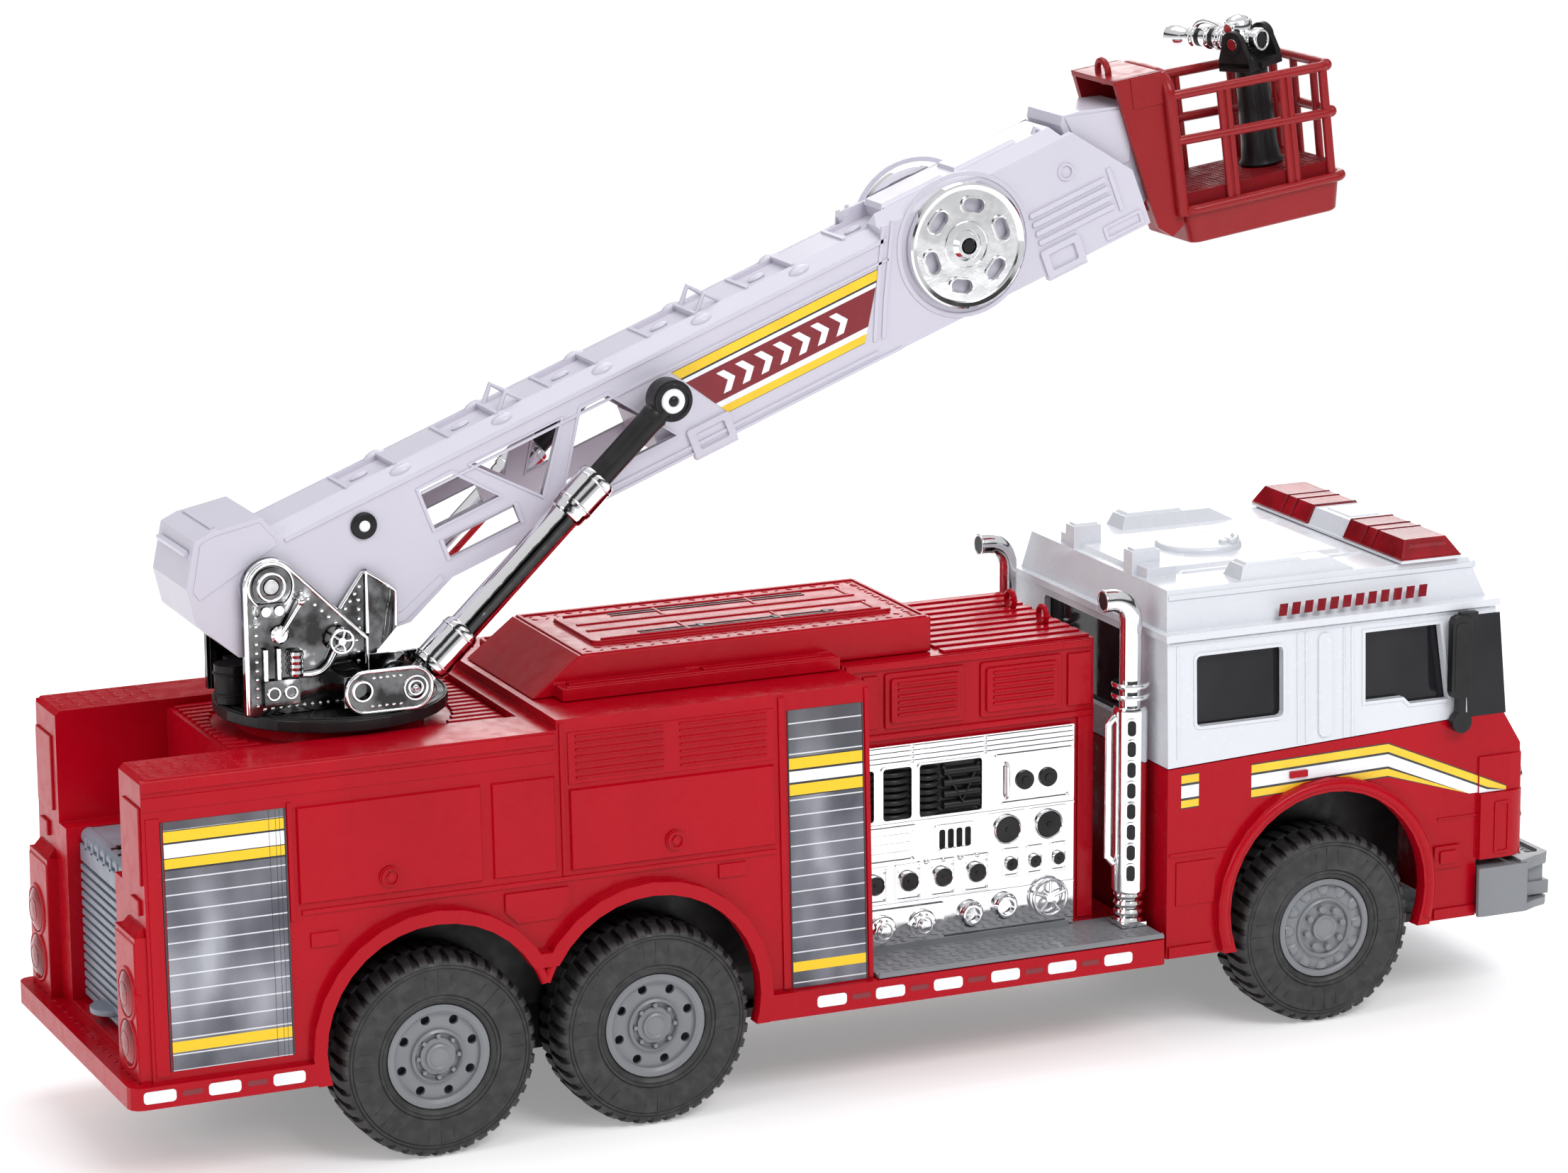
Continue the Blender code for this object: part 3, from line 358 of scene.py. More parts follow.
YELLOW = (0.86, 0.56, 0.02)
PRINT_WHITE = (0.83, 0.85, 0.88)
PRINT_BLACK = (0.03, 0.03, 0.035)
MAROON = (0.2, 0.008, 0.015)


def printed_door(name, bottom, top, bands):
    """A printed roller door: cloudy dark greys, fine pale slat lines, bright bands."""
    p = Paint(name, 0.3)
    z = p.axis("Z")
    clouds = p.noise(34, 2, (1.2, 1.2, 0.5))
    greys = ((0.38, (0.075, 0.078, 0.1)), (0.54, (0.19, 0.195, 0.23)), (0.7, (0.4, 0.41, 0.46)))
    streaks = p.ramp(clouds, greys)
    height = p.math("DIVIDE", p.math("SUBTRACT", z, bottom * MM), (top - bottom) * MM)
    dim = p.ramp(height, ((0.0, 0.1), (0.2, 0.0), (0.6, 0.0), (1.0, 0.75)))
    shaded = p.mix(dim, streaks, (0.07, 0.068, 0.075))
    slat = p.math("FRACT", p.math("DIVIDE", z, 6.1 * MM))
    line = p.ramp(slat, ((0.0, 0.75), (0.085, 0.0)), True)
    doors = p.mix(line, shaded, PRINT_WHITE)
    stops, masks = [(0.0, (0, 0, 0))], [(0.0, 0.0)]
    for low, high, color in bands:
        for spot, tint, on in ((low, color, 1.0), (high, (0, 0, 0), 0.0)):
            part = (spot - bottom) / (top - bottom)
            stops.append((part, tint))
            masks.append((part, on))
    p.color(p.mix(p.ramp(height, masks, True), doors, p.ramp(height, stops, True)))
    p.rough(0.22, 0.4)
    p.normal(p.bump(p.noise(700, 3), 0.01, 0.5))
    return p.set(Specular_IOR_Level=0.3)


def printed(name, color):
    """One ink of a glossy printed label, a little uneven."""
    p = Paint(name, 0.25)
    p.color(p.ramp(p.noise(90, 4), ((0.3, shade(color, 0.92)), (0.7, shade(color, 1.06)))))
    p.rough(0.18, 0.34)
    p.normal(p.bump(p.noise(800, 3), 0.01, 0.5))
    return p.mat


RED = moulded("red_plastic_finish", (0.4, 0.001, 0.009), 0.24, 0.03, rub=0.12, shine=0.16)
DARK_RED = moulded("dark_red_plastic_finish", (0.27, 0.009, 0.012), 0.3, 0.03, shine=0.28)
DARK_RED_MATT = moulded("dark_red_floor_finish", (0.17, 0.006, 0.009), 0.62, 0.0, shine=0.08)
WHITE = moulded("white_plastic_finish", (0.68, 0.7, 0.745), 0.26, 0.1, 0.3, rub=0.04)
BOOM_WHITE = moulded("boom_white_finish", (0.57, 0.55, 0.635), 0.3, 0.05, 0.3, rub=0.04)
GREY = moulded("grey_plastic_finish", (0.2, 0.21, 0.225), 0.36, 0.1)
SHUTTER_GREY = moulded("shutter_grey_finish", (0.2, 0.23, 0.28), 0.34, 0.1)
CHROME = chromed("chromed_plastic_finish", ((0.3, 0.8), (0.7, 0.92)))
# Painted reflections on the turret's chrome: mostly dark tones for mirrored dark surroundings, bright patches as
# painted highlights.
TURRET_PAINTED_REFLECTION_STOPS = ((0.36, 0.035), (0.5, 0.12), (0.6, 0.16), (0.68, 0.75))
TURRET_PAINTED_REFLECTION_CHROME = chromed("turret_chrome_painted_reflection_finish", TURRET_PAINTED_REFLECTION_STOPS, 95, 0.6)
TUBE_PAINTED_REFLECTION_CHROME = painted_reflection_chrome()
BLACK = ribbed_grip()
VINYL = vinyl()
LENS = lens_red()
GLAZING = smoked()
STEEL = steel()
INK = {
    "yellow": printed("yellow_ink", YELLOW),
    "white": printed("white_ink", PRINT_WHITE),
    "maroon": printed("maroon_ink", MAROON),
    "black": printed("black_ink", PRINT_BLACK),
}


# ---------------------------------------------------------------- shape tools


def arc(centre, radius, start, end, steps):
    """Points on a circle in an outline's plane, angles in degrees."""
    span = [radians(start + (end - start) * i / steps) for i in range(steps + 1)]
    return [(centre[0] + radius * cos(a), centre[1] + radius * sin(a)) for a in span]


def circle(centre, radius, steps=20):
    """The points of a whole circle, with no point twice."""
    return arc(centre, radius, 0, 360 - 360 / steps, steps - 1)


def rounded(x0, x1, y0, y1, radius, steps=4):
    """A rectangle's outline with round corners."""
    corners = (((x1, y1), 0), ((x0, y1), 90), ((x0, y0), 180), ((x1, y0), 270))
    points = []
    for (x, y), start in corners:
        inner = (x + radius * (-1 if x == x1 else 1), y + radius * (-1 if y == y1 else 1))
        points += arc(inner, radius, start, start + 90, steps)
    return points


class Sketch:
    """Shapes in millimetres gathered into one mesh. at is where the next shapes are put."""

    def __init__(self):
        self.bm = bmesh.new()
        self.at = Matrix()

    def settle(self, verts):
        """Moves new points by the sketch's own placement."""
        bmesh.ops.transform(self.bm, matrix=self.at, verts=verts)

    def wedge(self, low, high):
        """A block between two level rectangles (x0, x1, half width or (y0, y1), z)."""
        verts = bmesh.ops.create_cube(self.bm, size=2)["verts"]
        for vert in verts:
            x0, x1, ys, z = high if vert.co.z > 0 else low
            y0, y1 = ys if isinstance(ys, tuple) else (-ys, ys)
            vert.co = Vector((x1 if vert.co.x > 0 else x0, y1 if vert.co.y > 0 else y0, z))
        self.settle(verts)

    def box(self, x, y, z):
        """A block between two values on each axis."""
        self.wedge((*x, tuple(y), z[0]), (*x, tuple(y), z[1]))

    def cylinder(self, axis, centre, radius, length, segments=28, end_radius=None):
        far = radius if end_radius is None else end_radius
        made = bmesh.ops.create_cone(
            self.bm, cap_ends=True, segments=segments, radius1=radius, radius2=far, depth=length
        )
        verts = made["verts"]
        bmesh.ops.transform(self.bm, matrix=Matrix.Translation(centre) @ TURN[axis], verts=verts)
        self.settle(verts)

    def ball(self, centre, radius, squash=(1, 1, 1), segments=20):
        """A ball, or a flattened one."""
        made = bmesh.ops.create_uvsphere(
            self.bm, u_segments=segments, v_segments=segments // 2, radius=radius
        )
        for vert in made["verts"]:
            vert.co = Vector(a * b for a, b in zip(vert.co, squash)) + Vector(centre)
        self.settle(made["verts"])

    def turned(self, profile, axis="Y", centre=(0, 0, 0), segments=48, closed=True):
        """A profile of (radius, along) points swept round an axis."""
        rows = []
        for i in range(segments):
            a = 2 * pi * i / segments
            rows.append([self.bm.verts.new((r * cos(a), r * sin(a), h)) for r, h in profile])
        last = len(profile) if closed else len(profile) - 1
        for row, following in zip(rows, rows[1:] + rows[:1]):
            for j in range(last):
                k = (j + 1) % len(profile)
                corners = (row[j], following[j], following[k], row[k])
                self.bm.faces.new(corners)
        verts = [v for row in rows for v in row]
        bmesh.ops.transform(self.bm, matrix=Matrix.Translation(centre) @ TURN[axis], verts=verts)
        self.settle(verts)
        bmesh.ops.remove_doubles(self.bm, verts=verts, dist=0.0005)

    def ring(self, axis, centre, radius, thickness, segments=32, sides=8):
        """A torus about an axis."""
        self.turned(circle((radius, 0), thickness, sides), axis, centre, segments)

    def plate(self, outline, axis, low, high):
        """A flat outline given thickness along an axis: (x, z) for Y, (y, z) for X, (x, y) for Z."""
        near = [self.bm.verts.new((a, b, low)) for a, b in outline]
        far = [self.bm.verts.new((a, b, high)) for a, b in outline]
        self.bm.faces.new(near)
        self.bm.faces.new(far)
        for i in range(len(outline)):
            j = (i + 1) % len(outline)
            self.bm.faces.new((near[i], near[j], far[j], far[i]))
        verts = near + far
        flip = Matrix.Scale(-1, 4, (0, 0, 1)) if axis == "Y" else Matrix()
        bmesh.ops.transform(self.bm, matrix=FLAT[axis] @ flip, verts=verts)
        self.settle(verts)

    def pierced(self, outline, holes, axis, low, high):
        """A flat outline with holes through it."""
        curve = bpy.data.curves.new("outline", "CURVE")
        curve.dimensions = "2D"
        curve.fill_mode = "BOTH"
        curve.extrude = (high - low) / 2
        for loop in (outline, *holes):
            spline = curve.splines.new("POLY")
            spline.points.add(len(loop) - 1)
            for point, (a, b) in zip(spline.points, loop):
                point.co = (a, b, 0, 1)
            spline.use_cyclic_u = True
        middle = (low + high) / 2
        shift = {"X": (middle, 0, 0), "Y": (0, middle, 0), "Z": (0, 0, middle)}[axis]
        self.take(curve, Matrix.Translation(shift) @ FLAT[axis])

    def tube(self, points, radius, sides=3, closed=False, smooth=False):
        """A round bar through a list of points, or a smooth one that bends through them."""
        curve = bpy.data.curves.new("tube", "CURVE")
        curve.dimensions = "3D"
        curve.bevel_depth = radius
        curve.bevel_resolution = sides
        curve.use_fill_caps = not closed
        if smooth:
            spline = curve.splines.new("BEZIER")
            spline.bezier_points.add(len(points) - 1)
            for point, spot in zip(spline.bezier_points, points):
                point.co = spot
                point.handle_left_type = point.handle_right_type = "AUTO"
            spline.resolution_u = 6
        else:
            spline = curve.splines.new("POLY")
            spline.points.add(len(points) - 1)
            for point, spot in zip(spline.points, points):
                point.co = (*spot, 1)
        spline.use_cyclic_u = closed
        self.take(curve, Matrix())

    def take(self, curve, local):
        """Turns a curve into mesh and adds it to the sketch."""
        guide = bpy.data.objects.new("guide", curve)
        mesh = bpy.data.meshes.new_from_object(guide)
        bpy.data.objects.remove(guide, do_unlink=True)
        mesh.transform(self.at @ local)
        before = len(self.bm.verts)
        self.bm.from_mesh(mesh)
        self.bm.verts.ensure_lookup_table()
        bmesh.ops.remove_doubles(self.bm, verts=self.bm.verts[before:], dist=0.0005)
        bpy.data.meshes.remove(mesh)

    def mirrored(self):
        """Adds the same shapes on the other side of the toy's middle plane."""
        made = bmesh.ops.duplicate(self.bm, geom=self.bm.verts[:] + self.bm.edges[:] + self.bm.faces[:])
        verts = [g for g in made["geom"] if isinstance(g, bmesh.types.BMVert)]
        for vert in verts:
            vert.co.y = -vert.co.y
        return self

    def lean(self):
        """Leans the shapes in towards their top as the rear body's walls do."""
        for vert in self.bm.verts:
            vert.co.y *= 1 - LEAN * (vert.co.z - WALL_Z)
        return self


def soften(obj, width, angle=38, segments=2):
    """Rounds the edges of a piece, or of a CAD node, by a width in millimetres."""
    bevel = obj.modifiers.new("edges", "BEVEL")
    bevel.width = width * MM
    bevel.segments = segments
    bevel.limit_method = "ANGLE"
    bevel.angle_limit = radians(angle)
    bevel.use_clamp_overlap = True
    normals = obj.modifiers.new("normals", "WEIGHTED_NORMAL")
    normals.keep_sharp = True
    normals.weight = 90


def piece(name, sketch, body, material, frame_at=None, edge=0.25, stands_for=(), segments=1):
    """Finishes a sketch as one piece that rides on a body."""
    mesh = bpy.data.meshes.new(name)
    bmesh.ops.recalc_face_normals(sketch.bm, faces=sketch.bm.faces)
    sketch.bm.to_mesh(mesh)
    sketch.bm.free()
    mesh.transform(Matrix.Scale(MM, 4) @ (frame_at or Matrix()))
    obj = bpy.data.objects.new(name, mesh)
    bpy.context.scene.collection.objects.link(obj)
    mesh.materials.append(material)
    mesh.shade_smooth()
    if edge:
        soften(obj, edge, segments=segments)
    else:
        mesh.set_sharp_from_angle(angle=radians(38))
    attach(obj, body)
    if stands_for:
        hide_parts(*stands_for)
    return obj


def wear(node, material, edge=0.0):
    """Gives a CAD node its finish and, where its edges are rounded, their width in mm."""
    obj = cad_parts[node]
    obj.data.materials.clear()
    obj.data.materials.append(material)
    if edge:
        weld = obj.modifiers.new("weld", "WELD")
        weld.merge_threshold = 0.00002
        flat = obj.modifiers.new("flat", "DECIMATE")
        flat.decimate_type = "DISSOLVE"
        flat.angle_limit = radians(1)
        soften(obj, edge)
    return obj


# ---------------------------------------------------------------- wheels


def tyre(place_name, side, sign):
    """A soft tyre: a rounded carcass with rings and joints on its wall, and slanting tread blocks."""
    s = Sketch()
    half = TYRE_W / 2
    wall = [(38.3, 9.5), (38.2, 11.2), (37.4, 12.3), (36.6, 12.8), (36.3, 12.5), (35.9, 12.9), (35.3, 12.9)]
    wall += [(35.0, 12.6), (34.6, 13.0), (30, half), (26.4, half), (24.9, 12.9), (24.6, 12.5), (24.2, 12.9)]
    wall += [(23.4, 12.8), (23.1, 12.4), (22.7, 12.6), (21.4, 12.0), (RIM_R + 0.5, 11)]
    profile = [(r, -a) for r, a in reversed(wall)] + wall[:]
    s.turned(profile, "Y", (0, 0, 0), 72)
    blocks = 40
    for i in range(blocks):
        for row in (-1, 1):
            s.at = Matrix.Rotation(2 * pi * (i + (row > 0) * 0.5) / blocks, 4, "Y")
            slant = 1.6
            width = 2.2
            rows = []
            for a, top, foot in ((0.5, TYRE_R, 37), (5.5, TYRE_R, 37), (9.8, TYRE_R - 0.2, 37),
                                 (11.8, 39.0, 36.8), (12.7, 38.0, 36.6)):
                shift = slant * (1 - a / half)
                narrow = width - 0.35 * (a > 6)
                rows.append([(x + shift, row * a, z) for x, z in
                             ((-narrow, foot), (-narrow + 0.25, top), (narrow - 0.25, top), (narrow, foot))])
            loft(s, rows)
    for i in range(8):
        s.at = Matrix.Rotation(2 * pi * i / 8, 4, "Y")
        for row in (-1, 1):
            face = tuple(sorted((row * 12.2, row * (half + 0.12))))
            s.box((-0.3, 0.3), face, (25.6, 34.2))
            for x in (-5.2, 5.2):
                s.box((x - 0.2, x + 0.2), face, (27.5, 32.4))
    middle = sign * (WHEEL_FACE[place_name] - half)
    at = place(AXLE_X[place_name], middle, TYRE_R)
    name = f"{place_name}_tyre_{side}"
    piece(f"{name}_tread", s, f"{place_name}_axle", VINYL, at, 0, (name,))


def loft(s, rows):
    """Joins rows of as many points each into a closed block."""
    made = [[s.bm.verts.new(point) for point in row] for row in rows]
    for row, following in zip(made, made[1:]):
        for j in range(len(row)):
            k = (j + 1) % len(row)
            s.bm.faces.new((row[j], row[k], following[k], following[j]))
    s.bm.faces.new(made[0])
    s.bm.faces.new(reversed(made[-1]))
    s.settle([v for row in made for v in row])


def rear_hub(s, out):
    """A dished disc with a lip, eight holes, a ring of small bolts and a boss."""
    lip = [(RIM_R + 0.3, out), (RIM_R + 0.3, out - 4), (17.2, out - 4), (17.2, out - 0.4), (18.4, out + 0.6)]
    s.turned(lip, "Y")
    s.turned([(1.0, out - 9), (17.6, out - 9), (17.6, out - 7.5), (1.0, out - 7.5)], "Y")
    holes = [circle((15 * cos(pi * i / 4 + 0.3), 15 * sin(pi * i / 4 + 0.3)), 1.9, 14) for i in range(8)]
    s.pierced(circle((0, 0), 17.6, 56), holes, "Y", out - 3.6, out - 2.0)
    s.turned([(10.6, out - 2.6), (10.6, out - 0.6), (9.6, out + 0.1), (9.0, out - 1.2), (9.0, out - 2.6)], "Y")
    s.turned([(0.01, out - 1.8), (7.2, out - 1.8), (7.2, out - 0.9), (6.4, out - 0.5), (0.01, out - 0.5)],
             "Y", closed=False)
    s.turned([(0.01, out - 1), (5.2, out - 1), (5.2, out + 0.7), (4.3, out + 1.2), (3.8, out + 0.4),
              (0.01, out + 0.4)], "Y", closed=False)
    for i in range(8):
        spot = (8.2 * cos(pi * i / 4), out - 0.9, 8.2 * sin(pi * i / 4))
        s.cylinder("Y", spot, 0.85, 2.4, 8)


def front_hub(s, out):
    """A disc with a scalloped outer band, an inner ring of nuts and a boss."""
    lip = [(RIM_R + 0.3, out), (RIM_R + 0.3, out - 4), (18.0, out - 4), (18.0, out - 0.2), (18.8, out + 0.6)]
    s.turned(lip, "Y")
    s.turned([(0.01, out - 3.2), (18.2, out - 3.2), (18.2, out - 2.0), (13.2, out - 0.8), (0.01, out - 0.8)],
             "Y", closed=False)
    rim = [(12.6, -1.6), (12.6, 0.4), (11.8, 1.1), (10.9, 0.2), (10.9, -1.6)]
    s.turned([(r, out + a) for r, a in rim], "Y")
    s.turned([(0.01, out - 1), (5.4, out - 1), (5.4, out + 0.8), (4.4, out + 1.2), (3.9, out + 0.5),
              (0.01, out + 0.5)], "Y", closed=False)
    for i in range(12):
        s.at = Matrix.Rotation(2 * pi * i / 12, 4, "Y")
        rows = []
        for r, high in ((13.4, 0.2), (15.5, 1.0), (17.6, 0.3)):
            wide = 2.9 * r / 16
            dome = arc((0, 0), 1, 0, 180, 6)
            rows.append([(wide * u, out - 2.4 + (1.6 + high) * v, r) for u, v in dome])
        loft(s, rows)
    s.at = Matrix()
    for i in range(8):
        spot = (8.3 * cos(pi * i / 4 + 0.2), out + 0.1, 8.3 * sin(pi * i / 4 + 0.2))
        s.cylinder("Y", spot, 1.45, 2.6, 6)
        s.ball((spot[0], out + 1.2, spot[2]), 0.9, (1, 0.6, 1), 10)


def wheels():
    """The axles, hubs and tyres of the three axles."""
    for place_name, x in AXLE_X.items():
        wear(f"{place_name}_axle", STEEL)
        for side, sign in SIDES.items():
            tyre(place_name, side, sign)
            s = Sketch()
            out = WHEEL_FACE[place_name] - 1.8
            (front_hub if place_name == "front" else rear_hub)(s, out)
            depth = 19.0
            s.turned([(RIM_R + 0.3, out - 3), (RIM_R + 0.3, out - depth), (16, out - depth), (16, out - 8),
                      (17.6, out - 6), (17.6, out - 3)], "Y")
            s.turned([(2.7, out - 7.6), (2.7, out - depth), (5, out - depth), (5, out - 7.6)], "Y")
            if sign < 0:
                for vert in s.bm.verts:
                    vert.co.y = -vert.co.y
            name = f"{place_name}_hub_{side}"
            piece(f"{name}_disc", s, f"{place_name}_axle", GREY, place(x, 0, TYRE_R), 0.15, (name,))


# ---------------------------------------------------------------- rear body


def wall_at(z, out=0.0):
    """The rear body's half width at a height, as its walls lean in."""
    return (WALL_Y + out) * (1 - LEAN * (z - WALL_Z))


def side_block(s, x, z, out, sink=0.6, slope=0.4):
    """A raised panel on the right and left wall of the rear body, its edges sloped."""
    low, high = z
    for sign in SIDES.values():
        rows = []
        for depth, shrink in ((-sink, 0.0), (out, slope)):
            x0, x1, z0, z1 = x[0] + shrink, x[1] - shrink, low + shrink, high - shrink
            corners = ((x0, z0), (x1, z0), (x1, z1), (x0, z1))
            rows.append([(a, sign * wall_at(b, depth), b) for a, b in corners])
        loft(s, rows)


def tread_plate(s, x, y, z, step=(5.2, 3.4)):
    """Rows of small raised lozenges that lie crossways in turn, on a level face at z."""
    columns = int((x[1] - x[0]) / step[0])
    rows = int((y[1] - y[0]) / step[1])
    for i in range(columns):
        for j in range(rows):
            cx = x[0] + (i + 0.5) * (x[1] - x[0]) / columns
            cy = y[0] + (j + 0.5) * (y[1] - y[0]) / rows
            turn = radians(38 if (i + j) % 2 else -38)
            s.at = Matrix.Translation((cx, cy, z)) @ Matrix.Rotation(turn, 4, "Z")
            outline = ((-1.7, 0), (0, -0.5), (1.7, 0), (0, 0.5))
            s.plate(outline, "Z", -0.2, 0.28)
    s.at = Matrix()


def rear_body_trim():
    """The rear body's raised panels, mouldings and wheel-arch edges."""
    wear("rear_body", RED, 0.5)
    s = Sketch()
    side_block(s, (-239, -165), (106, 144), 1.3, slope=0.9)
    side_block(s, (-161.5, -135), (106, 144), 1.1, slope=0.9)
    side_block(s, (-130, -44), (105.5, 138), 1.3, slope=0.9)
    side_block(s, (-298, -134.5), (148.2, 154.0), 0.4)
    side_block(s, (-298, -134.5), (155.2, 160.4), 0.9, slope=0.6)
    side_block(s, (-297, -291), (47, 146), 0.5)
    side_block(s, (-242.5, -240), (100, 146), 0.8)
    side_block(s, (-133.4, -131.5), (104, 164), 0.9)
    side_block(s, (-42.6, -39.5), (47, 164), 0.9)
    side_block(s, (-6, -3.6), (47, 164), 0.8)
    side_block(s, (-238, -44), (101.8, 104.2), 0.8)
    side_block(s, (-235, -223.5), (89, 95), 1.0)
    side_block(s, (-69, -57), (95, 101), 1.0)
    side_block(s, (-130, -44), (139.2, 160), 0.5)
    for i in range(7):
        z = 141.2 + i * 2.7
        side_block(s, (-127, -90), (z, z + 1.5), 1.3, slope=0.5)
        side_block(s, (-84, -47), (z, z + 1.5), 1.3, slope=0.5)
    for sign in SIDES.values():
        trapezoid = [(-157, 100), (-131, 100), (-131, 93), (-136, 88), (-152, 88), (-157, 93)]
        s.plate(trapezoid, "Y", *sorted((sign * (wall_at(94) - 0.6), sign * (wall_at(94) + 1.0))))
        for x, z, r in ((-203, 113, 4.2), (-87, 113, 4.0)):
            y = sign * (wall_at(z) + 1.2)
            low, high = sorted((y - sign * 0.6, y + sign * 0.9))
            s.plate(circle((x, z), r, 32), "Y", low, high)
            low, high = sorted((y, y + sign * 1.5))
            s.pierced(circle((x, z), r * 0.86, 32), [circle((x, z), r * 0.66, 32)], "Y", low, high)
            s.plate([(x, z + r * 0.5), (x + r * 0.42, z), (x, z - r * 0.5), (x - r * 0.42, z)], "Y", low, high)
        for x, start, end in ((-186.2, 20, 190), (-98.2, -10, 160)):
            flare = arc((x, 48.5), 46.8, start, end, 34)
            s.tube([(a, sign * 73.6, b) for a, b in flare], 2.0, 4)
    piece("body_side_panels", s, "truck", RED, None, 0.2)

    rear_bands = ((56, 60, YELLOW), (125.4, 125.9, PRINT_BLACK), (125.9, 129.6, YELLOW),
                  (129.6, 130.2, PRINT_BLACK), (130.2, 135.4, PRINT_WHITE), (135.4, 136.2, PRINT_BLACK),
                  (136.2, 140.0, YELLOW), (140.0, 140.6, PRINT_BLACK))
    locker_bands = ((53.2, 57.4, YELLOW), (123.4, 124.0, PRINT_BLACK), (124.0, 128.2, YELLOW),
                    (128.2, 129.0, PRINT_BLACK), (129.0, 133.7, PRINT_WHITE), (133.7, 134.4, PRINT_BLACK),
                    (134.4, 138.5, YELLOW), (138.5, 139.1, PRINT_BLACK))
    labels = (
        ("rear_door", (-290, -243.4), (49, 144), rear_bands),
        ("locker", (-38, -6.8), (47, 158), locker_bands),
    )
    for name, (x0, x1), (low, high), bands in labels:
        s = Sketch()
        for sign in SIDES.values():
            rows = []
            for out in (-0.3, 0.25):
                corners = ((x0, low), (x1, low), (x1, high), (x0, high))
                rows.append([(a, sign * wall_at(b, out), b) for a, b in corners])
            loft(s, rows)
        print_of = printed_door(f"{name}_print", low, high, bands)
        piece(f"{name}_stickers", s, "truck", print_of, None, 0)
    s = Sketch()
    for x in (-291.2, -243.4):
        side_block(s, (x, x + 0.8), (49, 144), 0.45, slope=0.1)
    for x in (-38.6, -6.8):
        side_block(s, (x, x + 0.6), (47, 158), 0.45, slope=0.1)
    for x in (-249.4, -246.8, -245.2):
        side_block(s, (x, x + 0.3), (49, 144), 0.35, slope=0.1)
    piece("sticker_edges", s, "truck", INK["black"], None, 0)

    white, dark = Sketch(), Sketch()
    pitch = 25.2
    for first, count in ((-29.5, 6), (-303, 3)):
        for i in range(count):
            x = first + i * pitch
            white.plate(rounded(x, x + 12.6, 38.9, 43.6, 1.4), "Y", 75.2, 75.85)
            if i + 1 < count:
                dark.plate(rounded(x + 15, x + 23, 40.2, 42.4, 0.9), "Y", 75.2, 75.7)
    piece("skirt_markers_white", white.mirrored(), "truck", INK["white"], None, 0)
    piece("skirt_markers_dark", dark.mirrored(), "truck", INK["maroon"], None, 0)

    s = Sketch()
    s.box((-246, -40), (45.2, 45.9), (47, 101))
    s.box((150, 250), (43.6, 44.3), (46, 108))
    piece("wheel_well_liners", s.mirrored(), "truck", BLACK, None, 0.1)


def deck_trim():
    """Slats round the turntable, tread plate on the wall tops and the step, post and deck cover details."""
    s = Sketch()
    half = 41.0
    count = 15
    for i in range(count):
        y = -half + (i + 0.5) * 2 * half / count
        reach = 46.6
        gap = (reach ** 2 - y * y) ** 0.5 if abs(y) < reach else 0
        for x0, x1 in ((-251, TURN_X - gap), (TURN_X + gap, -141)):
            if x1 - x0 > 3:
                s.box((x0, x1), (y - 1.5, y + 1.5), (157.0, 158.6))
    for sign in SIDES.values():
        low, high = sorted((sign * 44, sign * 67))
        tread_plate(s, (-296, -255), (low, high), 161)
    tread_plate(s, (-306, -299.5), (-70, 70), 45.2, (3.3, 3.8))
    piece("deck_slats", s, "truck", RED, None, 0.2)

    s = Sketch()
    for sign in SIDES.values():
        y0, y1 = sorted((sign * 45.4, sign * 70.4))
        narrowed = (y0 + (1.6 if sign < 0 else 0), y1 - (1.6 if sign > 0 else 0))
        s.wedge((-302.9, -297.5, (y0, y1), 45), (-302.9, -297.5, narrowed, 99))
        s.wedge((-302.9, -297.5, (y0 + 2, y1 - 2), 99), (-298.4, -297.5, (y0 + 3, y1 - 3), 104.5))
        for z in (58.5, 77.5):
            s.turned([(8.9, -3.4), (10.6, -3.4), (10.6, -5.6), (9.9, -6.2), (8.9, -6.2)], "X",
                     (-297.5, sign * 59.5, z), 36)
        s.box((-299.2, -297.6), tuple(sorted((sign * 54.5, sign * 64.5))), (108, 114))
        s.box((-298.9, -297.6), tuple(sorted((sign * 47, sign * 67))), (120, 150))
    piece("rear_post_bulges", s, "truck", RED, None, 0.5, segments=2)

    wear("deck_cover", RED, 0.45)
    s = Sketch()
    for sign in SIDES.values():
        s.box((-96, 24), tuple(sorted((sign * 4.5, sign * 6.2))), (181.6, 182.3))
        s.box((-96, 24), tuple(sorted((sign * 19.4, sign * 20.4))), (181.6, 182.4))
        s.box((-110, 37), tuple(sorted((sign * 33.6, sign * 35.6))), (180.2, 181.0))
        s.box((-120, -7), tuple(sorted((sign * 43, sign * 44.8))), (170.3, 171.1))
        for x in (-58, -18, 22):
            s.box((x - 0.7, x + 0.7), tuple(sorted((sign * 7, sign * 19))), (181.6, 182.2))
        low, high = sorted((sign * 24, sign * 33))
        tread_plate(s, (-108, 36), (low, high), 180.4)
        for x0 in (-118, -62):
            s.box((x0, x0 + 50), tuple(sorted((sign * 37.6, sign * 42))), (170.4, 171.4))
    s.box((-110, -108.4), (-34, 34), (180.2, 181.0))
    s.box((36, 37.4), (-34, 34), (180.2, 181.0))
    tread_plate(s, (30.4, 36), (-33, 33), 180.4)
    piece("deck_cover_trim", s, "truck", RED, None, 0.2)
    # Painted shade: black bars stand for the hatch's slots, the dark of the shade inside them.
    s = Sketch()
    for y in (-17.2, -14.2):
        s.box((-78, 6), (y - 0.5, y + 0.5), (181.6, 182.1))
    for x in (-52, -20, 2):
        s.box((x - 1, x + 1), (-18, -13.4), (181.7, 182.3))
    for y in (14.2, 17.2):
        s.box((-78, 6), (y - 0.5, y + 0.5), (181.6, 182.1))
    piece("hatch_slot_painted_shade", s, "truck", BLACK, None, 0)


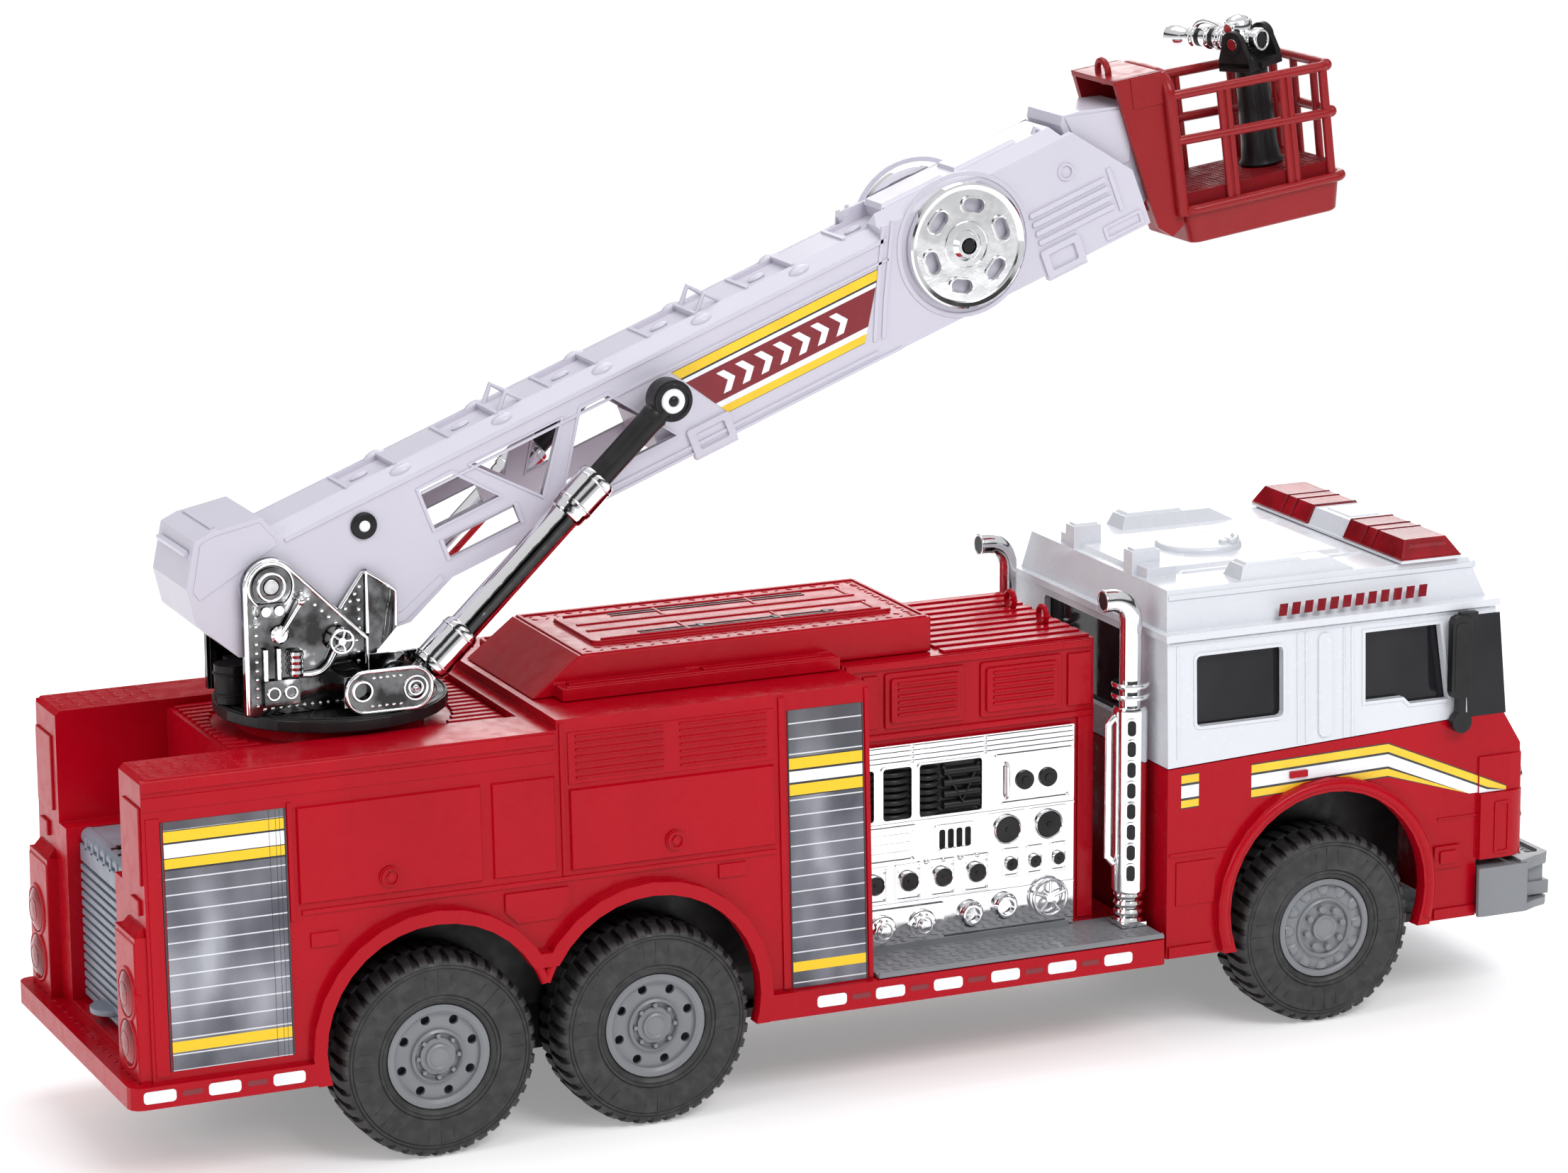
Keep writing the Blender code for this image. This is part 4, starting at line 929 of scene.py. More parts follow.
def rear_details():
    """The shutter's ribs, slots and tab, and the lamps on the posts."""
    s = Sketch()
    for i in range(15):
        z = 49.5 + i * 3.6
        s.box((-293.0, -290.6), (-31.4, 31.4), (z, z + 2.5))
    s.turned([(3.4, -31.6), (3.4, 31.6), (2.2, 31.6), (2.2, -31.6)], "Y", (-289, 0, 113), 28)
    s.box((-290.8, -288.2), (-31.4, 31.4), (48.6, 111.5))
    s.box((-292.9, -290.2), (-31.4, 31.4), (103.6, 110.6))
    s.box((-289, -275), (-31.4, 31.4), (113.8, 116.1))
    for i in range(7):
        y = -24 + i * 8
        s.box((-292.9, -289), (y - 1.2, y + 1.2), (109.2, 114.6))
    s.plate(arc((-291.8, 0), 8.4, 90, 270, 18), "Z", 51.8, 54.2)
    s.box((-293.8, -291.8), (-14, 14), (49.8, 51.6))
    piece("shutter_slats", s, "shutter", SHUTTER_GREY, None, 0.3, ("rear_shutter",))
    s = Sketch()
    for y in (-20, -11, -2):
        s.box((-290.4, -285.4), (y - 0.9, y + 0.9), (115.7, 116.6))
        s.box((-287.4, -285.4), (y - 0.9, y + 3.4), (115.7, 116.6))
    piece("shutter_notches", s, "shutter", BLACK, None, 0)
    for side, sign in SIDES.items():
        s = Sketch()
        y = sign * 59.5
        for z in (58.5, 77.5):
            dome = [(0.01, -6.6), (3.5, -6.4), (6.5, -5.9), (8.5, -5.0), (8.7, -3.2), (0.01, -3.2)]
            s.turned(dome, "X", (-298.6, y, z), 36, closed=False)
            s.ring("X", (-304.7, y, z), 4.6, 0.35, 28, 6)
        piece(f"tail_lamp_lenses_{side}", s, "truck", LENS, None, 0, (f"tail_lights_{side}",))


def pump_house_trim():
    """The pump house's slats, hooks and raised edges."""
    wear("pump_house", RED, 0.4)
    s = Sketch()
    for sign in SIDES.values():
        for x0, x1 in ((15, 50), (57, 93)):
            for depth, shrink in ((43.6, 0.0), (44.8, 2.2)):
                low, high = sorted((sign * 42.2, sign * depth))
                outline = rounded(x0 + shrink, x1 - shrink, 138.5 + shrink, 161 - shrink, 1.2, 3)
                s.plate(outline, "Y", low, high)
            for i in range(6):
                z = 143.6 + i * 2.5
                s.box((x0 + 5, x1 - 4), tuple(sorted((sign * 44, sign * 45.5))), (z, z + 1.2))
        low, high = sorted((sign * 42.2, sign * 43.6))
        s.box((-2, 107), (low, high), (134, 136.4))
        s.box((-2, 107), (low, high), (162.6, 165.6))
        s.box((100.5, 107.5), (low, high), (50, 134))
        s.box((5.5, 12), (low, high), (139, 160.5))
        s.box((96, 106.5), (low, high), (139, 160.5))
    for i in range(10):
        y = -38 + i * 8.45
        s.box((42, 107), (y - 2.3, y + 2.3), (165.6, 167.1))
    piece("pump_house_trim", s, "truck", RED, None, 0.25)


def valve_wheel(s, x, y, z, r, lobes=8):
    """A lobed hand-wheel on a short stem, its axis across the toy."""
    outline = []
    for i in range(lobes * 4):
        a = 2 * pi * i / (lobes * 4)
        reach = r * (1 if i % 4 in (0, 1) else 0.84)
        outline.append((x + reach * cos(a), z + reach * sin(a)))
    s.plate(outline, "Y", y, y + 2.0)
    s.cylinder("Y", (x, y + 1.5, z), r * 0.45, 3.4, 16)
    s.ring("Y", (x, y + 2.2, z), r * 0.68, 0.35, 20, 6)


def gauge(s, x, y, z, r):
    """A round dial's bezel, with room for its black face."""
    s.turned([(r, -0.4), (r, 1.1), (r * 0.92, 1.7), (r * 0.84, 1.1), (r * 0.82, 0.3), (0.01, 0.3)],
             "Y", (x, y, z), 28, closed=False)


def pump_panels():
    """The chromed control panel: windows, gauges, valves, outlets and a spoked wheel."""
    y = 45.2
    for side, sign in SIDES.items():
        s = Sketch()
        outline = [(-2.5, 48.9), (98, 48.9), (98, 132), (-2.5, 132)]
        windows = [rounded(a, b, 101.5, 122.8, 1.4) for a, b in ((-0.8, 9), (13, 25.5), (29, 56.5))]
        slots = [rounded(37.7 + i * 3.8, 40.3 + i * 3.8, 87, 95, 1.0, 3) for i in range(4)]
        s.pierced(outline, windows + slots, "Y", 43.2, y)
        for a, b in ((-0.8, 9), (13, 25.5), (29, 56.5)):
            frame_out = rounded(a - 0.9, b + 0.9, 100.6, 123.7, 2.0)
            s.pierced(frame_out, [rounded(a, b, 101.5, 122.8, 1.4)], "Y", y - 0.3, y + 0.6)
        for i in range(4):
            z = 123.9 + i * 2.05
            for x0, x1 in ((-2.5, 25.2), (26.4, 57.4), (58.6, 97.6)):
                s.box((x0, x1), (y - 0.3, y + 0.75), (z, z + 1.25))
        for x in (25.8, 58.0, 97.7):
            for i in range(8):
                s.box((x - 0.5, x + 0.5), (y - 0.2, y + 0.5), (124 + i, 124.5 + i))
        s.box((-2.5, 98), (y - 0.2, y + 0.45), (99.2, 100.1))
        s.pierced(rounded(62.5, 97.6, 101, 123, 1), [rounded(65.2, 95.2, 103, 120.6, 1)], "Y", y - 0.3, y + 0.9)
        grip = [(y + 0.2, 104.5), (y + 1.6, 106), (y + 1.6, 117.5), (y + 0.2, 119)]
        s.tube([(67.6, v, z) for v, z in grip], 0.8)
        s.pierced(rounded(-1.2, 28, 83, 98.6, 1), [rounded(0.6, 26.2, 84.8, 96.8, 1)], "Y", y - 0.3, y + 0.9)
        for i in range(3):
            s.box((1.8, 25), (y - 0.2, y + 0.35), (86.6 + i * 3.6, 88.2 + i * 3.6))
        s.pierced(rounded(35.8, 53.6, 85.2, 97, 1), slots, "Y", y - 0.3, y + 0.5)
        for x in (67.8, 86.3):
            s.box((x - 8, x + 8), (y - 0.3, y + 0.4), (84.4, 99))
            gauge(s, x, y + 0.3, 91.8, 6.2)
        for x in (32, 39.5, 47, 54.5):
            s.ball((x, y + 0.2, 82.6), 1.15, (1, 0.8, 1), 12)
        for x in (9.2, 24.2, 39.2, 54.2):
            hole = rounded(x - 5, x + 5, 68.6, 82, 0.6, 2)
            s.pierced(rounded(x - 6, x + 6, 67.6, 83, 0.8, 2), [hole], "Y", y - 0.3, y + 0.7)
            gauge(s, x, y + 0.4, 75.6, 4.2)
            for dx in (-4.6, 4.6):
                for z in (69, 80):
                    s.ball((x + dx, y + 0.5, z), 0.45, (1, 0.7, 1), 8)
        for x in (69.8, 80.4, 91):
            hole = rounded(x - 3, x + 3, 72.6, 82.6, 0.6, 2)
            s.pierced(rounded(x - 3.9, x + 3.9, 71.6, 83.6, 0.8, 2), [hole], "Y", y - 0.3, y + 0.6)
            gauge(s, x, y, 77, 2.9)
        s.box((-2.5, 98), (y - 0.2, y + 0.4), (66.2, 67.0))
        s.box((3.5, 39.5), (y - 0.3, y + 1.3), (50.4, 65))
        for x, z in ((12, 57.2), (29.6, 57.6)):
            flange = [(0.01, 0), (6, 0), (6, 0.7), (5.2, 1.2), (0.01, 1.2)]
            s.turned(flange, "Y", (x, y + 1.2, z), 28, closed=False)
            valve_wheel(s, x, y + 2.2, z, 4.7)
        for x, z in ((51.4, 58.6), (66.7, 60)):
            s.turned([(5.6, -0.3), (5.6, 1.2), (4.8, 1.8), (4.2, 3.4), (3.2, 3.4), (3.0, 1.0), (0.01, 1.0)],
                     "Y", (x, y, z), 28, closed=False)
            for a in (45, 135, 225, 315):
                s.ball((x + 4.9 * cos(radians(a)), y + 1.4, z + 4.9 * sin(radians(a))), 0.55, segments=8)
        s.ring("Y", (86.3, y + 2.4, 61.4), 7.4, 0.75, 36, 8)
        s.cylinder("Y", (86.3, y + 1.3, 61.4), 1.9, 3.4, 16)
        for i in range(5):
            a = 2 * pi * i / 5 + 0.3
            spot = (86.3 + 7.2 * cos(a), y + 2.4, 61.4 + 7.2 * sin(a))
            s.tube([(86.3, y + 2.4, 61.4), spot], 0.6)
        if sign < 0:
            for vert in s.bm.verts:
                vert.co.y = -vert.co.y
        piece(f"pump_panel_face_{side}", s, "truck", CHROME, None, 0.12, (f"pump_panel_{side}",))

    s = Sketch()
    s.box((-1.6, 97.6), (42.6, 43.1), (84, 124))
    for x in (75.8, 86.2):
        s.cylinder("Y", (x, y + 0.3, 111.3), 3.9, 1.6, 28)
        s.cylinder("Y", (x, y + 0.8, 111.3), 1.6, 1.6, 16)
    rows = (
        (5.1, 91.8, (67.8, 86.3)),
        (3.6, 75.6, (9.2, 24.2, 39.2, 54.2)),
        (2.5, 77, (69.8, 80.4, 91)),
    )
    for r, z, spots in rows:
        for x in spots:
            s.cylinder("Y", (x, y + 0.9, z), r, 0.9, 28)
            s.cylinder("Y", (x, y + 1.5, z), r * 0.2, 0.7, 12)
    for i in range(7):
        z = 102.4 + i * 2.9
        s.tube([(-0.4, 43.4, z), (4.3, 45.0, z), (8.8, 43.4, z)], 1.2, 2, smooth=True)
        s.tube([(13.4, 43.4, z), (19.2, 45.2, z), (25, 43.4, z)], 1.2, 2, smooth=True)
        s.tube([(29.4, 43.4, z), (33.5, 45.2, z), (38, 43.4, z)], 1.2, 2, smooth=True)
    for i in range(4):
        s.tube([(40, 44.0, 104.5 + i * 4.6), (56, 44.0, 104.5 + i * 4.6)], 1.7, 3)
    s.tube([(40, 43.8, 121), (48, 45.2, 106), (56, 43.8, 121)], 1.0, 3)
    piece("pump_panel_hoses", s.mirrored(), "truck", BLACK, None, 0.15)

    wear("running_board_left", GREY, 0.25)
    wear("running_board_right", GREY, 0.25)
    s = Sketch()
    tread_plate(s, (0, 122), (48.5, 73.2), 48.3, (4.6, 3.1))
    s.box((-2, 123.6), (73.6, 74.8), (48.0, 48.9))
    s.box((-2, 95), (46.4, 47.2), (48.0, 50.6))
    piece("running_board_tread", s.mirrored(), "truck", GREY, None, 0)


def exhausts():
    """The chromed stacks behind the cab with their slotted guards."""
    for side, sign in SIDES.items():
        s = Sketch()
        x, y = 117.5, sign * 56
        bend = arc((-9, 175), 9, 0, 90, 10)
        points = [(0, 134)] + bend + [(-12.5, 184)]
        s.tube([(x + a, y, b) for a, b in points], 4.5, 5)
        s.ring("X", (x - 12.4, y, 184), 4.1, 0.55, 28, 8)
        guard = [(7.1, 64), (7.1, 138), (6.3, 140), (4.4, 140), (4.4, 62.6), (6.3, 62.6)]
        s.turned(guard, "Z", (x, y, 0), 36)
        for z in (149, 144.4):
            s.turned([(4.2, -1), (7.4, -1), (7.8, 0), (7.4, 1), (4.2, 1)], "Z", (x, y, z), 32)
        for z in (51, 54.5, 58, 61.5):
            s.turned([(2, -1.3), (5.6, -1.3), (6.2, 0), (5.6, 1.3), (2, 1.3)], "Z", (x, y, z), 28)
        s.cylinder("Z", (x, y, 56), 4.4, 14, 24)
        s.box((x - 5.5, x + 5.5), (y - 5.5, y + 5.5), (48.7, 50.4))
        s.tube([(x - 7.2, y, 136), (x - 9.8, y, 133), (x - 9.8, y, 78), (x - 7.2, y, 75)], 1.5, 3)
        s.tube([(x, y - 7 * sign, 132), (x, y - 10 * sign, 132)], 1.6, 3)
        s.tube([(x, y - 7 * sign, 72), (x, y - 10 * sign, 72)], 1.6, 3)
        facing = Matrix.Rotation(radians(112 * sign), 4, "Z")
        for i in range(8):
            s.at = Matrix.Translation((x, y, 72 + i * 8.6)) @ facing
            s.pierced(rounded(-2.5, 2.5, -4, 4, 2.3, 4), [rounded(-1.7, 1.7, -3.2, 3.2, 1.6, 4)], "X", 6.5, 7.7)
        s.at = Matrix()
        piece(f"exhaust_stack_{side}", s, "truck", CHROME, None, 0.15, (f"exhaust_{side}",))
        # Painted shade: black plates in the guard's slots and a black disc in the pipe's mouth stand for the shade
        # inside these openings.
        s = Sketch()
        facing = Matrix.Rotation(radians(112 * sign), 4, "Z")
        for i in range(8):
            s.at = Matrix.Translation((x, y, 72 + i * 8.6)) @ facing
            s.plate(rounded(-1.7, 1.7, -3.2, 3.2, 1.6, 4), "X", 6.4, 7.3)
        s.at = Matrix()
        s.cylinder("X", (x - 12.2, y, 184), 3.7, 1.0, 24)
        piece(f"exhaust_slot_painted_shade_{side}", s, "truck", BLACK, None, 0)


# ---------------------------------------------------------------- cab


def cab():
    """The cab's finishes, and the panels, seams, steps and corner pods on its red lower shell."""
    wear("cab_lower", RED, 0.55)
    wear("cab_upper", WHITE, 0.5)
    wear("cab_windows", GLAZING, 0.3)
    s = Sketch()
    half = 70.0
    face = (half - 0.4, half + 0.6)
    s.box((131.5, 149), face, (58, 76))
    s.box((128.5, 155), (half - 0.4, half + 0.45), (78.5, 80))
    s.plate(rounded(251.4, 264.4, 58.6, 68, 1.2, 3), "Y", half - 0.4, half + 1.3)
    s.plate(rounded(253.8, 262, 60.6, 66, 0.8, 3), "Y", half, half + 2.2)
    s.box((253, 275), (half - 0.4, half + 0.5), (79, 79.9))
    s.box((128.3, 148), (half - 0.4, half + 1.0), (36.4, 41))
    s.box((252, 271.6), (half - 0.4, half + 1.0), (36.4, 41))
    corner = [(272.2, 60), (272.2, half + 2.6), (286, half + 2.6)]
    corner += [(290.6, half + 1.6), (293.4, half - 0.6), (294.4, 62)]
    s.plate(corner, "Z", 60.4, 87.5)
    s.plate([(x, y) for x, y in corner if y > half - 1] + [(293.4, 62), (272.6, 62)], "Z", 87.4, 88.4)
    lamp = rounded(280, 285, 63.6, 83.6, 0.8)
    s.pierced(rounded(278.8, 286, 62.4, 84.8, 1.2), [lamp], "Y", half + 2.4, half + 3.1)
    flare = arc((200.4, 53), 48.4, -16, 196, 40)
    s.tube([(a, 72.2, b) for a, b in flare], 2.3, 4)
    s.box((183, 191), (half - 0.4, half + 1.4), (105.5, 108.2))
    piece("cab_side_relief", s.mirrored(), "truck", RED, None, 0.25)

    front()
    roof()
    side_windows()
    stripes()


def front():
    """The front face: grille, headlamps and a bumper with lamps. Symmetric left and right."""
    s = Sketch()
    x = 292.0
    s.pierced(rounded(-40, 40, 64, 104, 3), [rounded(-36, 36, 67, 101, 2)], "X", x - 0.5, x + 1.8)
    for i in range(6):
        z = 69.5 + i * 5.6
        s.box((x - 0.5, x + 1.2), (-36.5, 36.5), (z, z + 2.6))
    for sign in SIDES.values():
        y = sign * 59.5
        for z in (91.5, 74):
            s.turned([(7.4, -0.5), (7.4, 1.6), (6.6, 2.2), (5.9, 1.2), (5.9, -0.5)], "X", (294, y, z), 32)
    piece("front_grille", s, "truck", CHROME, None, 0.2)
    s = Sketch()
    s.box((x - 0.3, x + 0.2), (-36.5, 36.5), (66.5, 101.5))
    piece("grille_backing", s, "truck", BLACK, None, 0)
    s = Sketch()
    for sign in SIDES.values():
        for z in (91.5, 74):
            dome = [(0.01, 1.9), (3, 1.7), (5.2, 1.0), (5.9, 0.2), (5.9, -0.4), (0.01, -0.4)]
            s.turned(dome, "X", (294, sign * 59.5, z), 32, closed=False)
            s.ring("X", (295.4, sign * 59.5, z), 3, 0.3, 24, 6)
    piece("headlamp_lenses", s, "truck", INK["white"], None, 0)

    shelf = [(273, 74.6), (294, 74.6), (300, 71.6), (306, 69.6), (308.2, 67), (308.2, -67), (306, -69.6)]
    shelf += [(300, -71.6), (294, -74.6), (273, -74.6)]
    recess = [(273, 74.4), (293, 74.4), (296.5, 71.6), (299, 67.6), (304, 65.4), (304, -65.4), (299, -67.6)]
    recess += [(296.5, -71.6), (293, -74.4), (273, -74.4)]
    s = Sketch()
    s.plate(shelf, "Z", 36.2, 39.6)
    s.plate(recess, "Z", 39.2, 54.4)
    s.plate(shelf, "Z", 54, 57)
    rim = [(x + 0.1 * (x > 300), y) for x, y in shelf if x > 290]
    rim += [(291, -74.6), (291, 74.6)]
    s.pierced(rim, [[(293, 66), (304, 66), (305.6, 63), (305.6, -63), (304, -66), (293, -66)]], "Z", 56.8, 58.6)
    tread_plate(s, (293.6, 304.8), (-62, 62), 57.2, (3.4, 3.8))
    for sign in SIDES.values():
        s.box((270.6, 294), tuple(sorted((sign * 73.2, sign * 75.3))), (36.6, 57.4))
        s.box((295.5, 308.6), tuple(sorted((sign * 55, sign * 68.4))), (40.6, 46.4))
        for y in (57, 66):
            s.box((299, 306.4), tuple(sorted((sign * (y - 1.2), sign * (y + 1.2)))), (46, 54.4))
        s.turned([(5.4, -1.4), (5.4, 0), (4.6, 0.05), (4.2, -0.6), (0.01, -0.6)], "X",
                 (305.2, sign * 40, 47.4), 28, closed=False)
    s.box((303, 307.2), (-24, 24), (42, 52.4))
    piece("bumper_profile", s, "truck", GREY, None, 0.45, ("front_bumper",), 2)


def roof():
    """What stands on the cab's roof: hatch, tabs, pods, gutters, dashes and the light bar."""
    s = Sketch()
    s.wedge((134, 228, 32, 186.2), (136, 226, 30.5, 188.4))
    s.turned([(0.01, 191), (15.4, 191), (17.2, 190.4), (17.9, 189.2), (17.9, 186), (0.01, 186)],
             "Z", (178, 0, 0), 56, closed=False)
    s.tube([(178 + a, b, 191.4) for a, b in arc((0, 0), 15.6, -62, -8, 12)], 1.3, 3)
    for x, y in ((183.4, -11.6), (187.2, -9.2)):
        s.turned([(0.01, 1), (1.5, 1), (1.9, 0.4), (1.9, -1), (0.01, -1)], "Z", (x, y, 191.6), 16, closed=False)
    for sign in SIDES.values():
        low, high = sorted((sign * 22.8, sign * 28.8))
        s.wedge((132.6, 143.8, (low, high), 195.6), (133.2, 143.2, (low + 0.4, high - 0.4), 196.8))
        low, high = sorted((sign * 45.6, sign * 56.4))
        s.wedge((168.2, 196, (low, high), 191.4), (170, 194, (low + 0.8, high - 0.8), 193.2))
        low, high = sorted((sign * 58.5, sign * 62))
        s.wedge((131.5, 272, (low, high), 182.6), (131.5, 272, (low - sign * 0.5, high - sign * 0.5), 184.4))
        low, high = sorted((sign * 33, sign * 36))
        s.wedge((150, 236, (low, high), 186), (152, 234, (low + 0.5, high - 0.5), 187.2))
    s.box((270, 277), (-56, 56), (180.5, 183.5))
    piece("roof_trim", s, "truck", WHITE, None, 0.6, segments=3)

    def side_y(z):
        return 70.4 - (z - 165.6) * 0.29

    for name, ink, shapes in roof_label():
        s = Sketch()
        rows = [[(x, side_y(z) + out, z) for x, z in shape] for shape in shapes for out in (-0.3, 0.12)]
        for low, high in zip(rows[::2], rows[1::2]):
            loft(s, [low, high])
        piece(name, s.mirrored(), "truck", INK[ink], None, 0)

    s = Sketch()
    s.wedge((237.9, 266.1, 62.6, 186.9), (237.9, 266.1, 62.6, 188.4))
    s.wedge((238.4, 265.6, 15, 188), (241.8, 261.2, 15, 195.4))
    s.wedge((244, 259, 10, 195), (244.6, 258.4, 9.4, 196.0))
    piece("light_bar_housing", s, "truck", WHITE, None, 0.4, ("light_bar_base",), 2)
    for side, sign in SIDES.items():
        s = Sketch()
        for i, (a, b) in enumerate(((15.6, 28.8), (29.6, 37.0), (37.8, 62.4))):
            low = tuple(sorted((sign * a, sign * b)))
            top = tuple(sorted((sign * (a + 0.3), sign * (b - (4.4 if i == 2 else 0.3)))))
            s.wedge((238.0, 266.0, low, 188.8), (241.8, 261.2, top, 196.0))
        low = tuple(sorted((sign * 15.4, sign * 62.8)))
        foot = tuple(sorted((sign * 15.4, sign * 61.0)))
        s.wedge((239.2, 264.8, foot, 186.4), (237.6, 266.4, low, 188.9))
        low = tuple(sorted((sign * 15.6, sign * 60)))
        s.wedge((240.5, 263.5, low, 189), (243, 260, low, 194.4))
        seams = Sketch()
        for edge in (15.3, 29.2, 37.4):
            low = tuple(sorted((sign * (edge - 0.3), sign * (edge + 0.3))))
            seams.wedge((237.8, 266.2, low, 188.6), (241.6, 261.4, low, 196.3))
        piece(f"light_lens_seams_{side}", seams, "truck", INK["maroon"], None, 0)
        piece(f"light_lens_segments_{side}", s, "truck", LENS, None, 0.35, (f"light_lens_{side}",), 2)


def roof_label():
    """Plain marks on the roof's side: a row of slanting maroon dashes."""
    dashes = []
    for i in range(12):
        x = 178 + i * 5.9
        z = 175.2 + (x - 178) * 0.02
        dashes.append([(x, z - 2.3), (x + 3.6, z - 2.3), (x + 5.0, z + 2.3), (x + 1.4, z + 2.3)])
    return (("roof_dashes", "maroon", dashes),)


def side_windows():
    """The frames round the cab's side windows."""
    s = Sketch()
    half = 70.0

    def face(z):
        return half - 2 * (z - 115.3) / 55.2

    def strip(outline, holes, out):
        before = set(s.bm.verts)
        s.pierced(outline, holes, "Y", -0.3, out)
        for vert in set(s.bm.verts) - before:
            vert.co.y += face(vert.co.z)

    rear = rounded(140.5, 180, 131.6, 160.4, 2)
    strip(rounded(139.2, 181.3, 130.3, 161.7, 3), [rear], 0.5)
    front_pane = [(218, 162), (253, 162), (257, 130.3), (239, 130.3), (236, 133.3), (218, 133.3)]
    front_rim = [(216.6, 163.3), (254.2, 163.3), (258.5, 129), (238.4, 129), (235.4, 132), (216.6, 132)]
    strip(front_rim, [front_pane], 0.5)
    for x in (186.5, 211.5):
        strip(rounded(x, x + 0.9, 119.5, 165, 0.3, 1), [], 0.45)
    for x in (190.2, 207.8):
        strip(rounded(x, x + 0.9, 119.5, 165, 0.3, 1), [], 0.45)
    strip(rounded(196.2, 202.2, 121, 164, 2.8, 5), [], 1.0)
    strip(rounded(131.5, 132.5, 119, 165, 0.3, 1), [], 0.45)
    strip(rounded(262, 263, 124.5, 165, 0.3, 1), [], 0.45)
    strip(rounded(129, 277, 165.6, 166.6, 0.4, 1), [], 0.45)
    piece("window_frames", s.mirrored(), "truck", WHITE, None, 0.15)
    s = Sketch()
    strip([(264.5, 164), (281.5, 164), (284.6, 121.5), (266.5, 121.5)], [], 0.35)
    piece("windscreen_returns", s.mirrored(), "truck", GLAZING, None, 0.1)
    for side in SIDES:
        wear(f"mirror_{side}", BLACK, 0.8)
    s = Sketch()
    s.plate(rounded(256.9, 263.4, 134, 163, 2), "Y", 74.8, 75.3)
    s.tube([(260.8, 73, 128), (260.8, 73, 120)], 1.9)
    piece("mirror_backs", s.mirrored(), "truck", BLACK, None, 0.15)


def stripes():
    """Three printed stripes along the cab's side: level, up to a peak, then down to the front corner."""
    peak, drop = 229.0, 0.43

    def top(x):
        if x <= peak:
            return 112.9 + (x - 166) * (1.5 / (peak - 166))
        return 114.4 - drop * (x - peak)

    floor_z = 88.8
    runs = (("black", -0.5, 13.9), ("yellow", 0.0, 3.3), ("white", 4.3, 9.4), ("yellow", 10.4, 13.4))
    for number, (ink, high, low) in enumerate(runs):
        s = Sketch()
        for x0, x1 in ((133.5, 141.5), (165.5, 285)):
            xs = sorted({x0, x1, *(x for x in (peak, 268.0, 272.1, 276.0) if x0 < x < x1)})
            for a, b in zip(xs, xs[1:]):
                corners = [(a, top(a) - low), (b, top(b) - low), (b, top(b) - high), (a, top(a) - high)]
                cut_low = [(x, max(z, floor_z)) for x, z in corners]
                if number == 3 and b > 277:
                    continue
                jut = 1.0 if a > 272 else 0.0
                s.plate(cut_low, "Y", 69.7 + jut, 70.12 + jut + 0.06 * (number > 0))
        piece(f"cab_stripe_{number}", s.mirrored(), "truck", INK[ink], None, 0)


# ---------------------------------------------------------------- turntable


def rivets(s, points, y, r=0.75):
    """Small round heads at a list of points on a wall."""
    for x, z in points:
        s.ball((x, y, z), r, (1, 0.6, 1), 8)


def along(a, b, count):
    """Evenly spaced points from one point to another."""
    last = count - 1
    return [(a[0] + (b[0] - a[0]) * i / last, a[1] + (b[1] - a[1]) * i / last) for i in range(count)]


